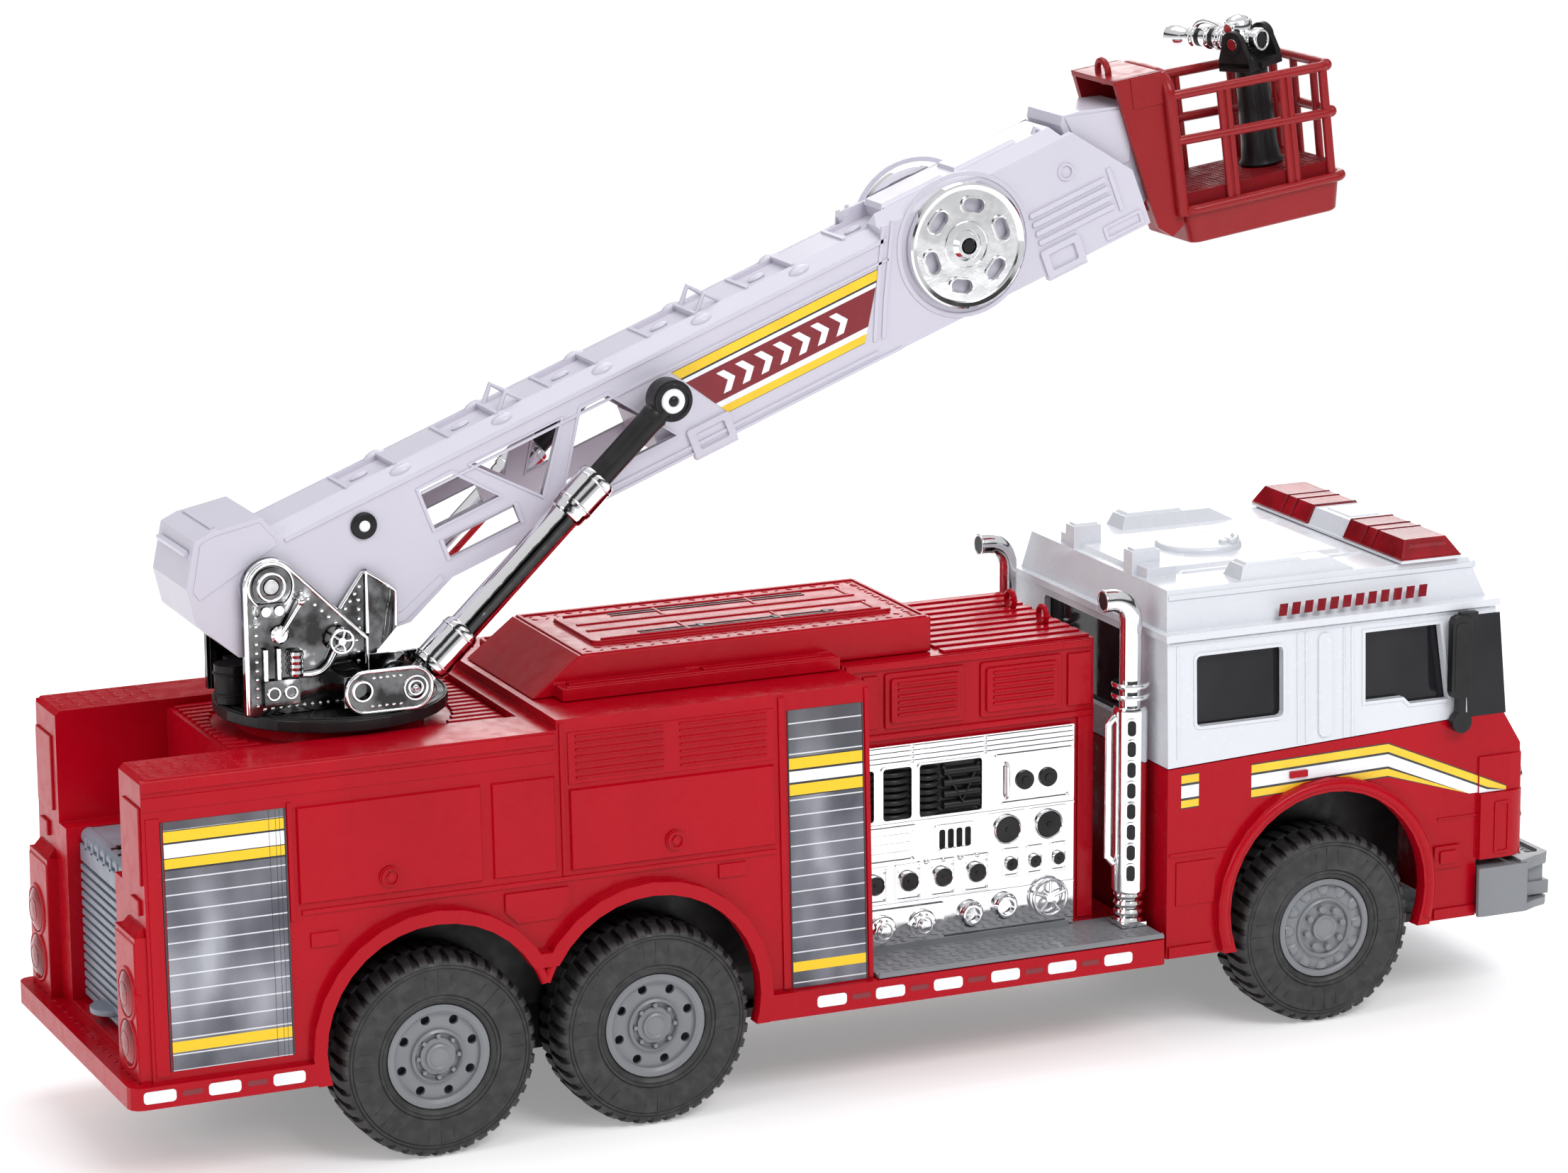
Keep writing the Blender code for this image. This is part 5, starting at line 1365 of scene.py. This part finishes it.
def turntable():
    """The riveted chrome plates, their levers, valves and cylinder pods, and the black disc's top."""
    wear("turntable", BLACK, 0.4)
    for node in ("boom_pivot_pin", "cylinder_base_pin", "lift_pin"):
        wear(node, STEEL, 0.3)
    pivot = (-231.7, 218.0)
    corner, foot = (-193.0, 194.6), 168.2
    for side, sign in SIDES.items():
        s, fittings = Sketch(), Sketch()
        holes = [circle(pivot, 3.3, 20), circle(BASE_PIN, 3.3, 20)]
        apron = [(-241, foot), (-241, 190), (-205, 187), (-173, 187), (-173, 176), (-178, foot)]
        s.pierced(apron, [circle(BASE_PIN, 3.3, 20)], "Y", 22.0, 23.6)
        main = [(-242.3, foot), *arc(pivot, 10.7, 180, 50, 14), corner, (-193, foot)]
        s.pierced(main, [holes[0]], "Y", 22.4, 25.2)
        fin = [(-215, 200), (-204, 207), (-194.3, 219.9), (-192.6, 220.4), (-192.6, 187), (-215, 187)]
        s.plate(fin, "Y", 22.0, 24.0)
        rows = []
        for x, top, bottom, y in ((-193, 219.9, 188, 25.2), (-189, 217.2, 189.2, 25.0),
                                  (-184.6, 213.8, 193, 23.8), (-180.6, 210.8, 196, 21.8)):
            rows.append([(x, y, bottom), (x, y, top), (x, y - 1.6, top), (x, y - 1.6, bottom)])
        loft(s, rows)
        for r, deep in ((10.0, 26.0), (7.4, 26.8)):
            s.pierced(circle(pivot, r, 40), [holes[0]], "Y", 24, deep)
        pod = rounded(-207.6, -173.4, 168.8, 184.6, 7.6, 8)
        s.pierced(pod, [circle((-201.3, 177.4), 3.1, 24), circle(BASE_PIN, 3.0, 24)], "Y", 38.4, 40.6)
        s.box((-208, -197), (24.8, 38.8), (171, 183))
        s.box((-235.6, -221.6), (24.8, 27.4), (172, 181.7))
        s.box((-237, -227), (25, 27.8), (206.3, 211.8))
        if sign < 0:
            for vert in s.bm.verts:
                vert.co.y = -vert.co.y
        plate_node = (f"turret_plate_{side}",)
        piece(f"turret_plate_riveted_{side}", s, "turntable", TURRET_PAINTED_REFLECTION_CHROME, None, 0.2, plate_node)

        s = fittings
        rim = [(-241.4, foot + 1), *arc(pivot, 9.9, 180, 50, 14), (-194, 194.2), (-194, foot + 1)]
        s.tube([(x, 25.4, z) for x, z in rim], 1.0, 3)
        edge = [(-204, 24.2, 206.4), (-194.8, 24.2, 219.2), (-193.4, 25.2, 219.6), (-193.4, 25.2, 196)]
        s.tube(edge, 0.9, 3)
        s.tube([(-193, 24.8, 219.4), (-189, 25.0, 216.8), (-184.6, 23.8, 213.4), (-180.8, 22, 210.6),
                (-180.8, 22, 197)], 0.8, 3)
        s.ring("Y", (-231.7, 26.2, 218), 8.8, 0.55, 36, 6)
        s.ring("Y", (-231.7, 26.9, 218), 5.2, 0.7, 32, 6)
        dots = along((-237.8, 172), (-237.8, 210), 12) + along((-225, 219.6), (-198, 193.6), 11)
        dots += along((-235, 170.6), (-197, 170.6), 13) + along((-197.2, 174), (-197.2, 189), 5)
        rivets(s, dots, 25.3, 0.85)
        rivets(s, along((-203.6, 203.4), (-196, 214.2), 5) + along((-196.4, 198), (-196.4, 209), 4), 24.1, 0.85)
        for x in (-234.6, -229.4):
            s.cylinder("Y", (x, 28, 209), 1.9, 1.6, 18)
            s.cylinder("Z", (x, 26.6, 188), 1.1, 12, 12)
        s.turned([(0.01, 25), (3.6, 25), (3.6, 26.4), (2.6, 27.4), (0.01, 27.4)], "Y", (-228.6, 0, 199), 24,
                 closed=False)
        s.tube([(-228.6, 27.2, 199), (-220.8, 29, 211.4)], 0.9, 3)
        s.ball((-220.8, 29, 212.1), 1.9)
        for x, z in ((-232, 176.8), (-225.2, 176.8)):
            s.ring("Y", (x, 27.6, z), 2.3, 0.6, 20, 6)
        for i in range(4):
            coil = [(0.8, -1.1), (2.7, -1.1), (3.1, 0), (2.7, 1.1), (0.8, 1.1)]
            s.turned(coil, "Z", (-222.8, 27, 184 + i * 2.4), 20)
        pipe = [(-222, 27, 183), (-215, 27.4, 183), (-211, 27.4, 185), (-206.5, 27.4, 192)]
        s.tube(pipe, 1.2, 3, smooth=True)
        s.ring("Y", (-205.2, 29.6, 194.8), 4.4, 0.7, 28, 6)
        s.cylinder("Y", (-205.2, 27.6, 194.8), 1.5, 5.0, 16)
        for i in range(5):
            a = 2 * pi * i / 5
            s.tube([(-205.2, 29.6, 194.8), (-205.2 + 4.3 * cos(a), 29.6, 194.8 + 4.3 * sin(a))], 0.55)
        s.tube([(x, 40.4, z) for x, z in pod], 0.8, 3, closed=True)
        s.ring("Y", (-201.3, 40.6, 177.4), 3.7, 0.7, 28, 6)
        for r in (4.6, 2.7):
            s.ring("Y", (BASE_PIN[0], 40.7, BASE_PIN[1] + 1.7), r, 0.55, 28, 6)
        s.ball((BASE_PIN[0], 40.6, BASE_PIN[1] + 1.7), 1.3, (1, 0.6, 1), 14)
        lever_rivets = along((-196.6, 182.2), (-186, 182.2), 5) + along((-197.4, 171.2), (-186, 171.2), 5)
        rivets(s, lever_rivets, 40.7, 0.7)
        if sign < 0:
            for vert in s.bm.verts:
                vert.co.y = -vert.co.y
        piece(f"turret_fittings_{side}", s, "turntable", CHROME, None, 0)
    s = Sketch()
    for r in (44.2, 41.2):
        s.ring("Z", (TURN_X, 0, 167.7), r, 0.55, 72, 6)
    for i in range(24):
        s.at = Matrix.Translation((TURN_X, 0, 167.6)) @ Matrix.Rotation(2 * pi * i / 24, 4, "Z")
        s.box((30, 40.5), (-0.6, 0.6), (-0.2, 0.5))
    s.at = Matrix()
    for i in range(5):
        s.box((-236 + i * 11.4, -229 + i * 11.4), (-20.6, 20.6), (175.4, 176.4))
    s.box((-237.4, -233), (-18, 18), (168, 182))
    s.cylinder("Z", (-240, 0, 176), 6.5, 15, 28)
    for z in (172, 180):
        s.ring("Z", (-240, 0, z), 6.6, 0.6, 28, 6)
    piece("turntable_trim", s, "turntable", BLACK, None, 0.2)


# ---------------------------------------------------------------- boom


def boom_trim():
    """The edges, ribs, seams, clips and label of the white boom, in its own frame."""
    wear("boom_shell", BOOM_WHITE, 0.35)
    wear("inner_boom", BOOM_WHITE, 0.35)
    wear("winder_shaft", BLACK, 0.3)
    half = BOOM_HALF
    s = Sketch()
    face = (half - 0.4, half + 0.7)
    s.box((13, 281), face, (11.6, 13.2))
    s.box((69, 279), face, (4.2, 5.2))
    s.box((116, 262), face, (-28.8, -27.4))
    s.box((108, 272), face, (-31.4, -30.2))
    s.plate([(281, 18), (282.4, 18), (269.2, -9), (262.6, -23.6), (261.2, -23.2), (267.8, -8.4)], "Y", *face)
    s.plate([(285.4, 18.4), (286.8, 18.4), (273, -9.4), (266.4, -24), (265, -23.6), (271.6, -8.8)], "Y", *face)
    s.pierced(circle((311, -4), 29.2, 48), [circle((311, -4), 27.4, 48)], "Y", half - 0.4, half + 0.5)
    for i in range(4):
        w = -6 - i * 3.9
        s.plate(rounded(341, 377, w - 1.1, w + 0.9, 0.8, 3), "Y", half - 0.3, half + 1.0)
    s.box((378.6, 380.4), face, (-21, -2.6))
    s.turned([(2.6, 0), (2.6, 0.9), (3.4, 0.9), (3.8, 0)], "Y", (362, half, 4), 24)
    for u0, u1 in ((340, 358), (176, 195)):
        hole = rounded(u0 + 3, u1 - 3, -30.6, -23.6, 0.8)
        s.pierced(rounded(u0, u1, -33, -21.2, 1), [hole], "Y", half - 0.3, half + 1.3)
        s.box((u0, u1), (half - 2.5, half + 0.9), (-34, -31.2))
    s.pierced(rounded(369, 387, -30, -24, 0.8), [rounded(370.4, 385.6, -28.8, -25.2, 0.5)], "Y", *face)
    for loop in LATTICE:
        s.pierced(grown(loop, 1.6), [loop], "Y", half - 2.4, half + 0.5)
    rear_panel = [(-27, 10), (-17.6, 25.4), (-12, 26), (6.4, 23), (9.6, 14.4), (9, 12), (-26, 6)]
    s.plate(rear_panel, "Y", half - 0.3, half + 0.5)
    s.plate([(20, -34), (44, -38), (64, -31), (64, -28), (44, -34.5), (20, -30.6)], "Y", *face)
    s.pierced(circle((0, 0), 11, 40), [circle((0, 0), 8.8, 32)], "Y", half - 0.3, half + 0.4)
    s.mirrored()
    for i in range(6):
        u = 46 + i * 44.6
        s.box((u - 1.2, u + 0.2), (-10.4, 10.4), (15.4, 17.0))
        s.box((u + 19.8, u + 21.2), (-10.4, 10.4), (15.4, 17.0))
        for v in (-14.6, 14.6):
            s.ball((u + 20.4, v, 14.2), 3.2, (1.5, 1, 0.75), 14)
        s.ball((u + 8, 0, 15.0), 2.0, (2.0, 0.8, 0.6), 12)
    for u0, u1 in ((288, 318), (322, 352)):
        s.wedge((u0, u1, 8.4, 19.6), (u0 + 1.4, u1 - 1.4, 7.2, 21.6))
    s.tube([(112, 8, 15), (118, 8, 22), (124, 8, 15)], 1.2, 3)
    s.tube([(201, 8, 15), (207, 8, 22), (213, 8, 15)], 1.2, 3)
    for i in range(4):
        s.box((-24 + i * 4.4, -22 + i * 4.4), (-17, 17), (22.6 + i * 1.5, 24.4 + i * 1.4))
    piece("boom_ribs", s, "boom", BOOM_WHITE, BOOM, 0.25)

    def band(name, top, bottom, ink, out):
        """A strip of the label between two heights; the label narrows towards its bottom."""
        s = Sketch()
        label_top, rear_slope, front_slope = 2.7, 0.632, 0.648
        ends = []
        for w in (top, bottom):
            below = label_top - w
            ends.append((179.4 + below * rear_slope, 274.0 - below * front_slope))
        (a0, a1), (b0, b1) = ends
        s.plate([(a0, top), (a1, top), (b1, bottom), (b0, bottom)], "Y", half - 0.3, half + out)
        piece(name, s.mirrored(), "boom", INK[ink], BOOM, 0)

    band("boom_label_edge", 2.9, -22.2, "black", 0.16)
    band("boom_label_yellow_top", 2.7, -1.0, "yellow", 0.22)
    band("boom_label_white", -1.8, -20.4, "white", 0.2)
    band("boom_label_field", -3.4, -16.6, "maroon", 0.26)
    band("boom_label_yellow_bottom", -18.9, -22.0, "yellow", 0.24)
    s = Sketch()
    for i in range(7):
        u = 196 + i * 8.6
        s.plate([(u, -5.6), (u + 3.4, -5.6), (u + 7.0, -10), (u + 3.4, -14.4), (u, -14.4), (u + 3.6, -10)],
                "Y", half - 0.3, half + 0.3)
    piece("boom_label_chevrons", s.mirrored(), "boom", INK["white"], BOOM, 0)

    s = Sketch()
    s.turned([(0.01, 1.5), (4.4, 1.5), (5.2, 0.9), (5.2, -0.2), (0.01, -0.2)], "Y", (43.3, half + 0.2, 3.5), 36,
             closed=False)
    s.mirrored()
    s.cylinder("Y", (43.3, 0, 3.5), 1.8, 2 * half, 16)
    piece("cross_bolt_caps", s, "boom", BLACK, BOOM, 0.15, ("boom_cross_bolt",))
    s = Sketch()
    s.turned([(0.01, 2.0), (1.8, 1.9), (2.3, 1.4), (2.3, 0.9), (0.01, 0.9)], "Y", (43.3, half + 0.2, 3.5), 24,
             closed=False)
    piece("cross_bolt_screws", s.mirrored(), "boom", INK["white"], BOOM, 0)

    s = Sketch()
    s.plate([(371.6, 22.4), (381, 19.6), (401, 13.6), (392, -6), (384, -6), (373, 8)], "Y", 14.8, 15.7)
    s.box((374, 386), (14.8, 16.4), (-24, -12))
    s.mirrored()
    piece("inner_boom_head_trim", s, "extension", BOOM_WHITE, BOOM, 0.3)


LATTICE = [
    [(68.6, 6.2), (82.8, 6.2), (97, -10.5), (68.6, -10.5)],
    [(91.3, 6.2), (131, 6.2), (113, -18)],
    [(70, -16), (101, -16), (101, -24), (70, -24)],
    [(140, 6.2), (152, 6.2), (172, -21), (121.5, -21)],
]


def winder():
    """Chromed wheels with a rim and six slots round them."""
    for side, sign in SIDES.items():
        s = Sketch()
        slots = []
        for i in range(6):
            middle = 2 * pi * (i + 0.5) / 6
            loop = []
            for x, z in rounded(-4.6, 4.6, 13.4, 18.8, 2.6, 5):
                loop.append((x * cos(middle) - z * sin(middle), x * sin(middle) + z * cos(middle)))
            slots.append(loop)
        y = BOOM_HALF
        s.pierced(circle((0, 0), 24, 64), [*slots, circle((0, 0), 3.3, 20)], "Y", y + 1.4, y + 3.2)
        rim = [(25, 0.9), (25, 4.2), (24.2, 4.8), (22.6, 4.4), (22.2, 3.0), (22.2, 0.9)]
        s.turned([(r, y + a) for r, a in rim], "Y", segments=72)
        for loop in slots:
            s.pierced(grown(loop, 0.9), [loop], "Y", y + 2.8, y + 3.9)
        hub = [(3.3, 0.9), (3.3, 5.0), (4.6, 5.0), (6.4, 3.0), (6.4, 0.9)]
        s.turned([(r, y + a) for r, a in hub], "Y", segments=40)
        s.turned([(8.6, y + 2.8), (8.6, y + 3.8), (9.6, y + 3.8), (9.8, y + 2.8)], "Y", segments=48)
        if sign < 0:
            for vert in s.bm.verts:
                vert.co.y = -vert.co.y
        piece(f"winder_wheel_rim_{side}", s, "winder", CHROME, WINDER, 0.2, (f"winder_wheel_{side}",), 2)
    s = Sketch()
    s.cylinder("Y", (0, BOOM_HALF + 4.4, 0), 2.9, 1.4, 6)
    piece("winder_nuts", s.mirrored(), "winder", BLACK, WINDER, 0.2)


def grown(loop, by):
    """The outline moved outwards from its middle."""
    middle = Vector((sum(p[0] for p in loop) / len(loop), sum(p[1] for p in loop) / len(loop)))
    return [tuple(Vector(p) + (Vector(p) - middle).normalized() * by) for p in loop]


def lift_cylinders():
    """Chromed barrels and black rams, and the lift pin that their eyes turn on."""
    s = Sketch()
    s.cylinder("Y", (ROD_EYE[0], 0, ROD_EYE[1]), 2.4, 2 * CYLINDER_Y + 6, 24)
    piece("lift_pin_bright", s, "boom", STEEL, None, 0, ("lift_pin",))
    for side, sign in SIDES.items():
        at = place(BASE_PIN[0], sign * CYLINDER_Y, BASE_PIN[1], LIFT_SLOPE)
        s = Sketch()
        barrel = [(0.8, 9), (5.6, 9), (6.4, 10.5), (7.2, 11), (7.5, 12.5), (7.5, 29), (7.1, 30.2), (6.3, 30.8)]
        barrel += [(6.1, 31.4), (6.1, 88.6), (6.9, 89.2), (7.1, 90.4), (7.1, 92.4), (7.6, 93.2), (7.6, 107.2)]
        barrel += [(7.0, 108.4), (5.3, 108.4), (5.3, 22), (0.8, 22)]
        s.turned(barrel, "X", segments=48)
        for x in (13.2, 27.6, 94.6, 105.4):
            s.turned([(7.2, -0.5), (7.75, -0.4), (7.85, 0), (7.75, 0.4), (7.2, 0.5)], "X", (x, 0, 0), 48)
        s.box((2, 13), (-3, 3), (-4.4, 4.4))
        s.pierced(circle((0, 0), 6.8, 32), [circle((0, 0), 3.3, 20)], "Y", -3.5, 3.5)
        s.pierced(circle((0, 0), 5.2, 28), [circle((0, 0), 3.3, 20)], "Y", -4.2, 4.2)
        tube_node = (f"cylinder_tube_{side}",)
        piece(f"cylinder_barrel_{side}", s, f"cylinder_{side}", TUBE_PAINTED_REFLECTION_CHROME, at, 0.25, tube_node)
        s = Sketch()
        s.cylinder("X", ((REACH + 34) / 2, 0, 0), 5.0, REACH - 44, 32)
        s.at = Matrix.Translation((REACH, 0, 0))
        s.pierced(circle((0, 0), 8.2, 40), [circle((0, 0), 6.4, 32)], "Y", -4, 4)
        s.pierced(circle((0, 0), 7.6, 40), [circle((0, 0), 6.4, 32)], "Y", -4.5, 4.5)
        s.turned([(2, -11.5), (5.0, -11.5), (5.4, -8.4), (4.6, -6.6), (2, -6.6)], "X", segments=28)
        s.at = Matrix()
        piece(f"cylinder_ram_{side}", s, f"rod_{side}", BLACK, at, 0.25, (f"cylinder_rod_{side}",))
        s = Sketch()
        x, z = ROD_EYE
        out = sign * (CYLINDER_Y + 4.3)
        profile = [(0.01, -0.6), (4.7, -0.6), (4.9, 0), (4.5, 0.7), (2.4, 0.7), (2.0, 0.2), (0.01, 0.2)]
        s.turned([(r, a * sign) for r, a in profile], "Y", (x, out, z), 32, closed=False)
        piece(f"lift_washer_{side}", s, f"rod_{side}", INK["white"], None, 0)
        s = Sketch()
        s.ball((x, out + sign * 0.3, z), 2.0, (1, 0.5, 1), 20)
        band = sorted((out - sign * 0.8, out - sign * 0.2))
        s.pierced(circle((x, z), 6.2, 32), [circle((x, z), 4.7, 28)], "Y", *band)
        piece(f"lift_screw_{side}", s, f"rod_{side}", BLACK, None, 0)


# ---------------------------------------------------------------- basket and monitor


def basket():
    """The railed basket with its hood, back wall, tray, round lip and textured floor."""
    s = Sketch()
    rows = []
    for w, x0, x1, half, radius in ((-30.5, 16.4, 83, 19.8, 4), (-29.8, 15.7, 84, 20.5, 4.6),
                                    (-17.6, 13.8, 86, 21.9, 5.2)):
        rows.append([(u, v, w) for u, v in rounded(x0, x1, -half, half, radius, 5)])
    loft(s, rows)
    rim = rounded(14.6, 86.6, -22.4, 22.4, 4, 5)
    s.plate(rim, "Z", -17.9, -14.9)
    s.tube([(u, v, -16.4) for u, v in rim], 2.1, 4, closed=True)
    outline = [(-10, 41.5), (11, 41.5), (15.4, 36), (12.5, 14), (14, -22), (8, -26), (2, -21), (-0.7, -10)]
    for sign in SIDES.values():
        low, high = sorted((sign * 16.2, sign * 19.0))
        s.plate(outline, "Y", low, high)
        s.box((-3, 12.6), tuple(sorted((sign * 18.4, sign * 19.5))), (28.6, 41))
    s.box((-10, 11), (-18.6, 18.6), (39.4, 41.5))
    wall = [(-20.4, -18), (20.4, -18), (20.4, 30), *arc((11.4, 30.4), 9, 0, 90, 8)]
    wall += [*arc((-11.4, 30.4), 9, 90, 180, 8), (-20.4, 30)]
    s.plate(wall, "X", 10.8, 15.2)
    s.tube([(13, v, w) for v, w in wall[1:]] + [(13, -20.4, -18)], 2.5, 6, smooth=True)
    s.ring("X", (-5, 0, 42.5), 4.4, 1.4, 24, 8)
    inset = 5.0
    half = 21.4
    bends = (30, 60, 90)
    for rear, ahead in ((31, 29.4), (12.4, 10.2)):
        path = [(13, 20.4, rear), (18, half, rear), (86 - inset, half, ahead)]
        for a in bends:
            bend = inset * sin(radians(a)), inset * cos(radians(a))
            path.append((86 - inset + bend[0], half - inset + bend[1], ahead))
        path += [(u, -v, w) for u, v, w in reversed(path)]
        s.tube(path, 2.0, 4)
        for v in (half - 1.4, 1.4 - half):
            s.ball((84.8, v, ahead), 2.5, (1, 1, 1), 14)
    for sign in SIDES.values():
        for u in (34.9, 38.1, 62.9, 66.1):
            s.tube([(u, sign * 21.6, 30), (u - 0.4, sign * 21.4, -16)], 1.45, 4)
        for u in (36.5, 64.5):
            s.box((u - 1.6, u + 1.6), (sign * 21.5 - 0.5, sign * 21.5 + 0.5), (-16, 30))
        s.tube([(82.6, sign * 20.6, 29.4), (81.6, sign * 20.8, -16)], 1.9, 4)
        s.tube([(85.4, sign * 8, 29.4), (84.2, sign * 8, -16)], 1.6, 4)
    piece("basket_moulding", s, "basket", DARK_RED, BASKET, 0.35, ("basket",), 2)

    s = Sketch()
    s.plate(rounded(12, 83, -20.5, 20.5, 2), "Z", -16, -9.4)
    for i in range(28):
        u = 19 + i * 2.2
        for row in range(17):
            v = -18.6 + row * 2.2
            if hypot(u + 0.5 - 61.5, v + 0.5) > 10.4:
                s.box((u, u + 1.1), (v, v + 1.1), (-9.6, -9.25))
    piece("basket_floor", s, "basket", DARK_RED_MATT, BASKET, 0)
    s = Sketch()
    post = [(0.01, -8.7), (9.0, -8.7), (9.0, -8.0), (8.0, -6.4), (7.4, 0), (6.7, 26), (6.7, 30.3), (0.01, 30.3)]
    s.turned(post, "Z", (61.5, 0, 0), 40, closed=False)
    for i in range(3):
        s.at = Matrix.Translation((61.5, 0, 0)) @ Matrix.Rotation(radians(-110 + 40 * i), 4, "Z")
        s.wedge((7.0, 7.9, 0.5, -7), (6.0, 6.9, 0.5, 24))
    s.at = Matrix()
    piece("monitor_column", s, "basket", BLACK, BASKET, 0.2, ("monitor_post",))


def monitor():
    """The swivelling yoke and the chromed water cannon between its ears."""
    s = Sketch()
    s.wedge((-8, 8, 10.5, 0.4), (-8, 8, 10.5, 4.0))
    s.cylinder("Z", (0, 0, 1.0), 7.4, 1.2, 36)
    for sign in SIDES.values():
        ear = [(-8, 2), (8, 2), (7.4, 6), *arc((0, 11.7), 5.2, 0, 180, 16), (-7.4, 6)]
        s.pierced(ear, [circle((0, 11.7), 2.8, 20)], "Y", *sorted((sign * 7.8, sign * 10.5)))
        ring = circle((0, 11.7), 4.3, 28)
        s.pierced(ring, [circle((0, 11.7), 2.8, 20)], "Y", *sorted((sign * 10, sign * 11)))
    s.box((7.2, 9.4), (-4, 4), (0.8, 3.4))
    piece("monitor_fork", s, "yoke", BLACK, YOKE, 0.5, ("monitor_yoke",), 2)
    s = Sketch()
    barrel = [(0.6, 6.4), (3.1, 6.4), (3.5, 7.6), (4.3, 7.6), (4.8, 6.6), (4.8, 4), (4.0, 3), (4.0, 0.6), (5.4, -0.4)]
    barrel += [(5.6, -4), (5.2, -8), (4.2, -9.4), (4.2, -12.6), (5, -13.4), (5, -14.8), (4, -15.6), (4, -18.6)]
    barrel += [(4.8, -19.4), (4.8, -20.8), (3.7, -21.6), (3.5, -27), (4.3, -28), (4.3, -29.6), (3.6, -30.4)]
    barrel += [(3.8, -33), (4.7, -35.4), (4.9, -38.6), (4.5, -41), (3.4, -41), (2.4, -36), (0.6, -35)]
    s.turned(barrel, "X", segments=40)
    s.ball((-4.5, 0, 4.6), 5.8, (1, 1, 1), 28)
    s.ring("Z", (-4.5, 0, 7.4), 4.9, 0.6, 32, 8)
    s.cylinder("Y", (-4.5, 0, 5.4), 2.2, 13.4, 20)
    s.ring("X", (-10.8, 0, 0), 4.5, 0.7, 32, 8)
    s.cylinder("Y", (0, 0, 0), 2.5, 21.4, 20)
    s.tube([(-13, 0, 4), (-18, 0, 6.4), (-24, 0, 6.4), (-27.5, 0, 3.8)], 1.1, 3, smooth=True)
    piece("water_cannon", s, "nozzle", CHROME, NOZZLE, 0.2, ("water_nozzle",), 2)
    s = Sketch()
    s.cylinder("X", (-40.4, 0, 0), 2.9, 0.8, 24)
    s.cylinder("X", (6.9, 0, 0), 3.0, 0.9, 6)
    for x, r in ((-17.1, 4.12), (-24.6, 3.75)):
        s.cylinder("X", (x, 0, 0), r, 2.2, 32)
    piece("water_cannon_bore", s, "nozzle", BLACK, NOZZLE, 0)


def underside():
    """The black finishes below the floor, and what is screwed to it."""
    for node in ("chassis", "battery_box", "battery_cover"):
        wear(node, BLACK, 0.4)
    wear("speaker", BLACK)
    s = Sketch()
    for x in (-210, -120, 60, 130, 250):
        for sign in SIDES.values():
            y = sign * 33
            boss = [(5, 26.2), (5, 24.9), (4.2, 24.4), (3.2, 24.4), (2.8, 25.6), (0.01, 25.6)]
            s.turned(boss, "Z", (x, y, 0), 24, closed=False)
    for i in range(10):
        x = -260 + i * 9
        s.box((x, x + 1.6), (-26, 26), (25.3, 26.2))
    for x0, x1 in ((20, 120), (166, 236)):
        s.pierced(rounded(x0, x1, -26, 26, 4), [rounded(x0 + 2, x1 - 2, -24, 24, 3)], "Z", 25.2, 26.2)
    s.box((-74, -21), (-24, -22), (25.8, 26.6))
    s.box((-74, -21), (22, 24), (25.8, 26.6))
    piece("underside_screw_bosses", s, "truck", BLACK, None, 0.2)
    s = Sketch()
    for x in (-210, -120, 60, 130, 250):
        for sign in SIDES.values():
            s.ball((x, sign * 33, 25.4), 2.4, (1, 1, 0.4), 14)
    s.ball((-17.5, 0, 26.5), 2.2, (1, 1, 0.4), 14)
    piece("underside_screws", s, "truck", STEEL, None, 0)


camera()
studio()
wheels()
rear_body_trim()
deck_trim()
rear_details()
pump_house_trim()
pump_panels()
exhausts()
cab()
turntable()
boom_trim()
winder()
lift_cylinders()
basket()
monitor()
underside()
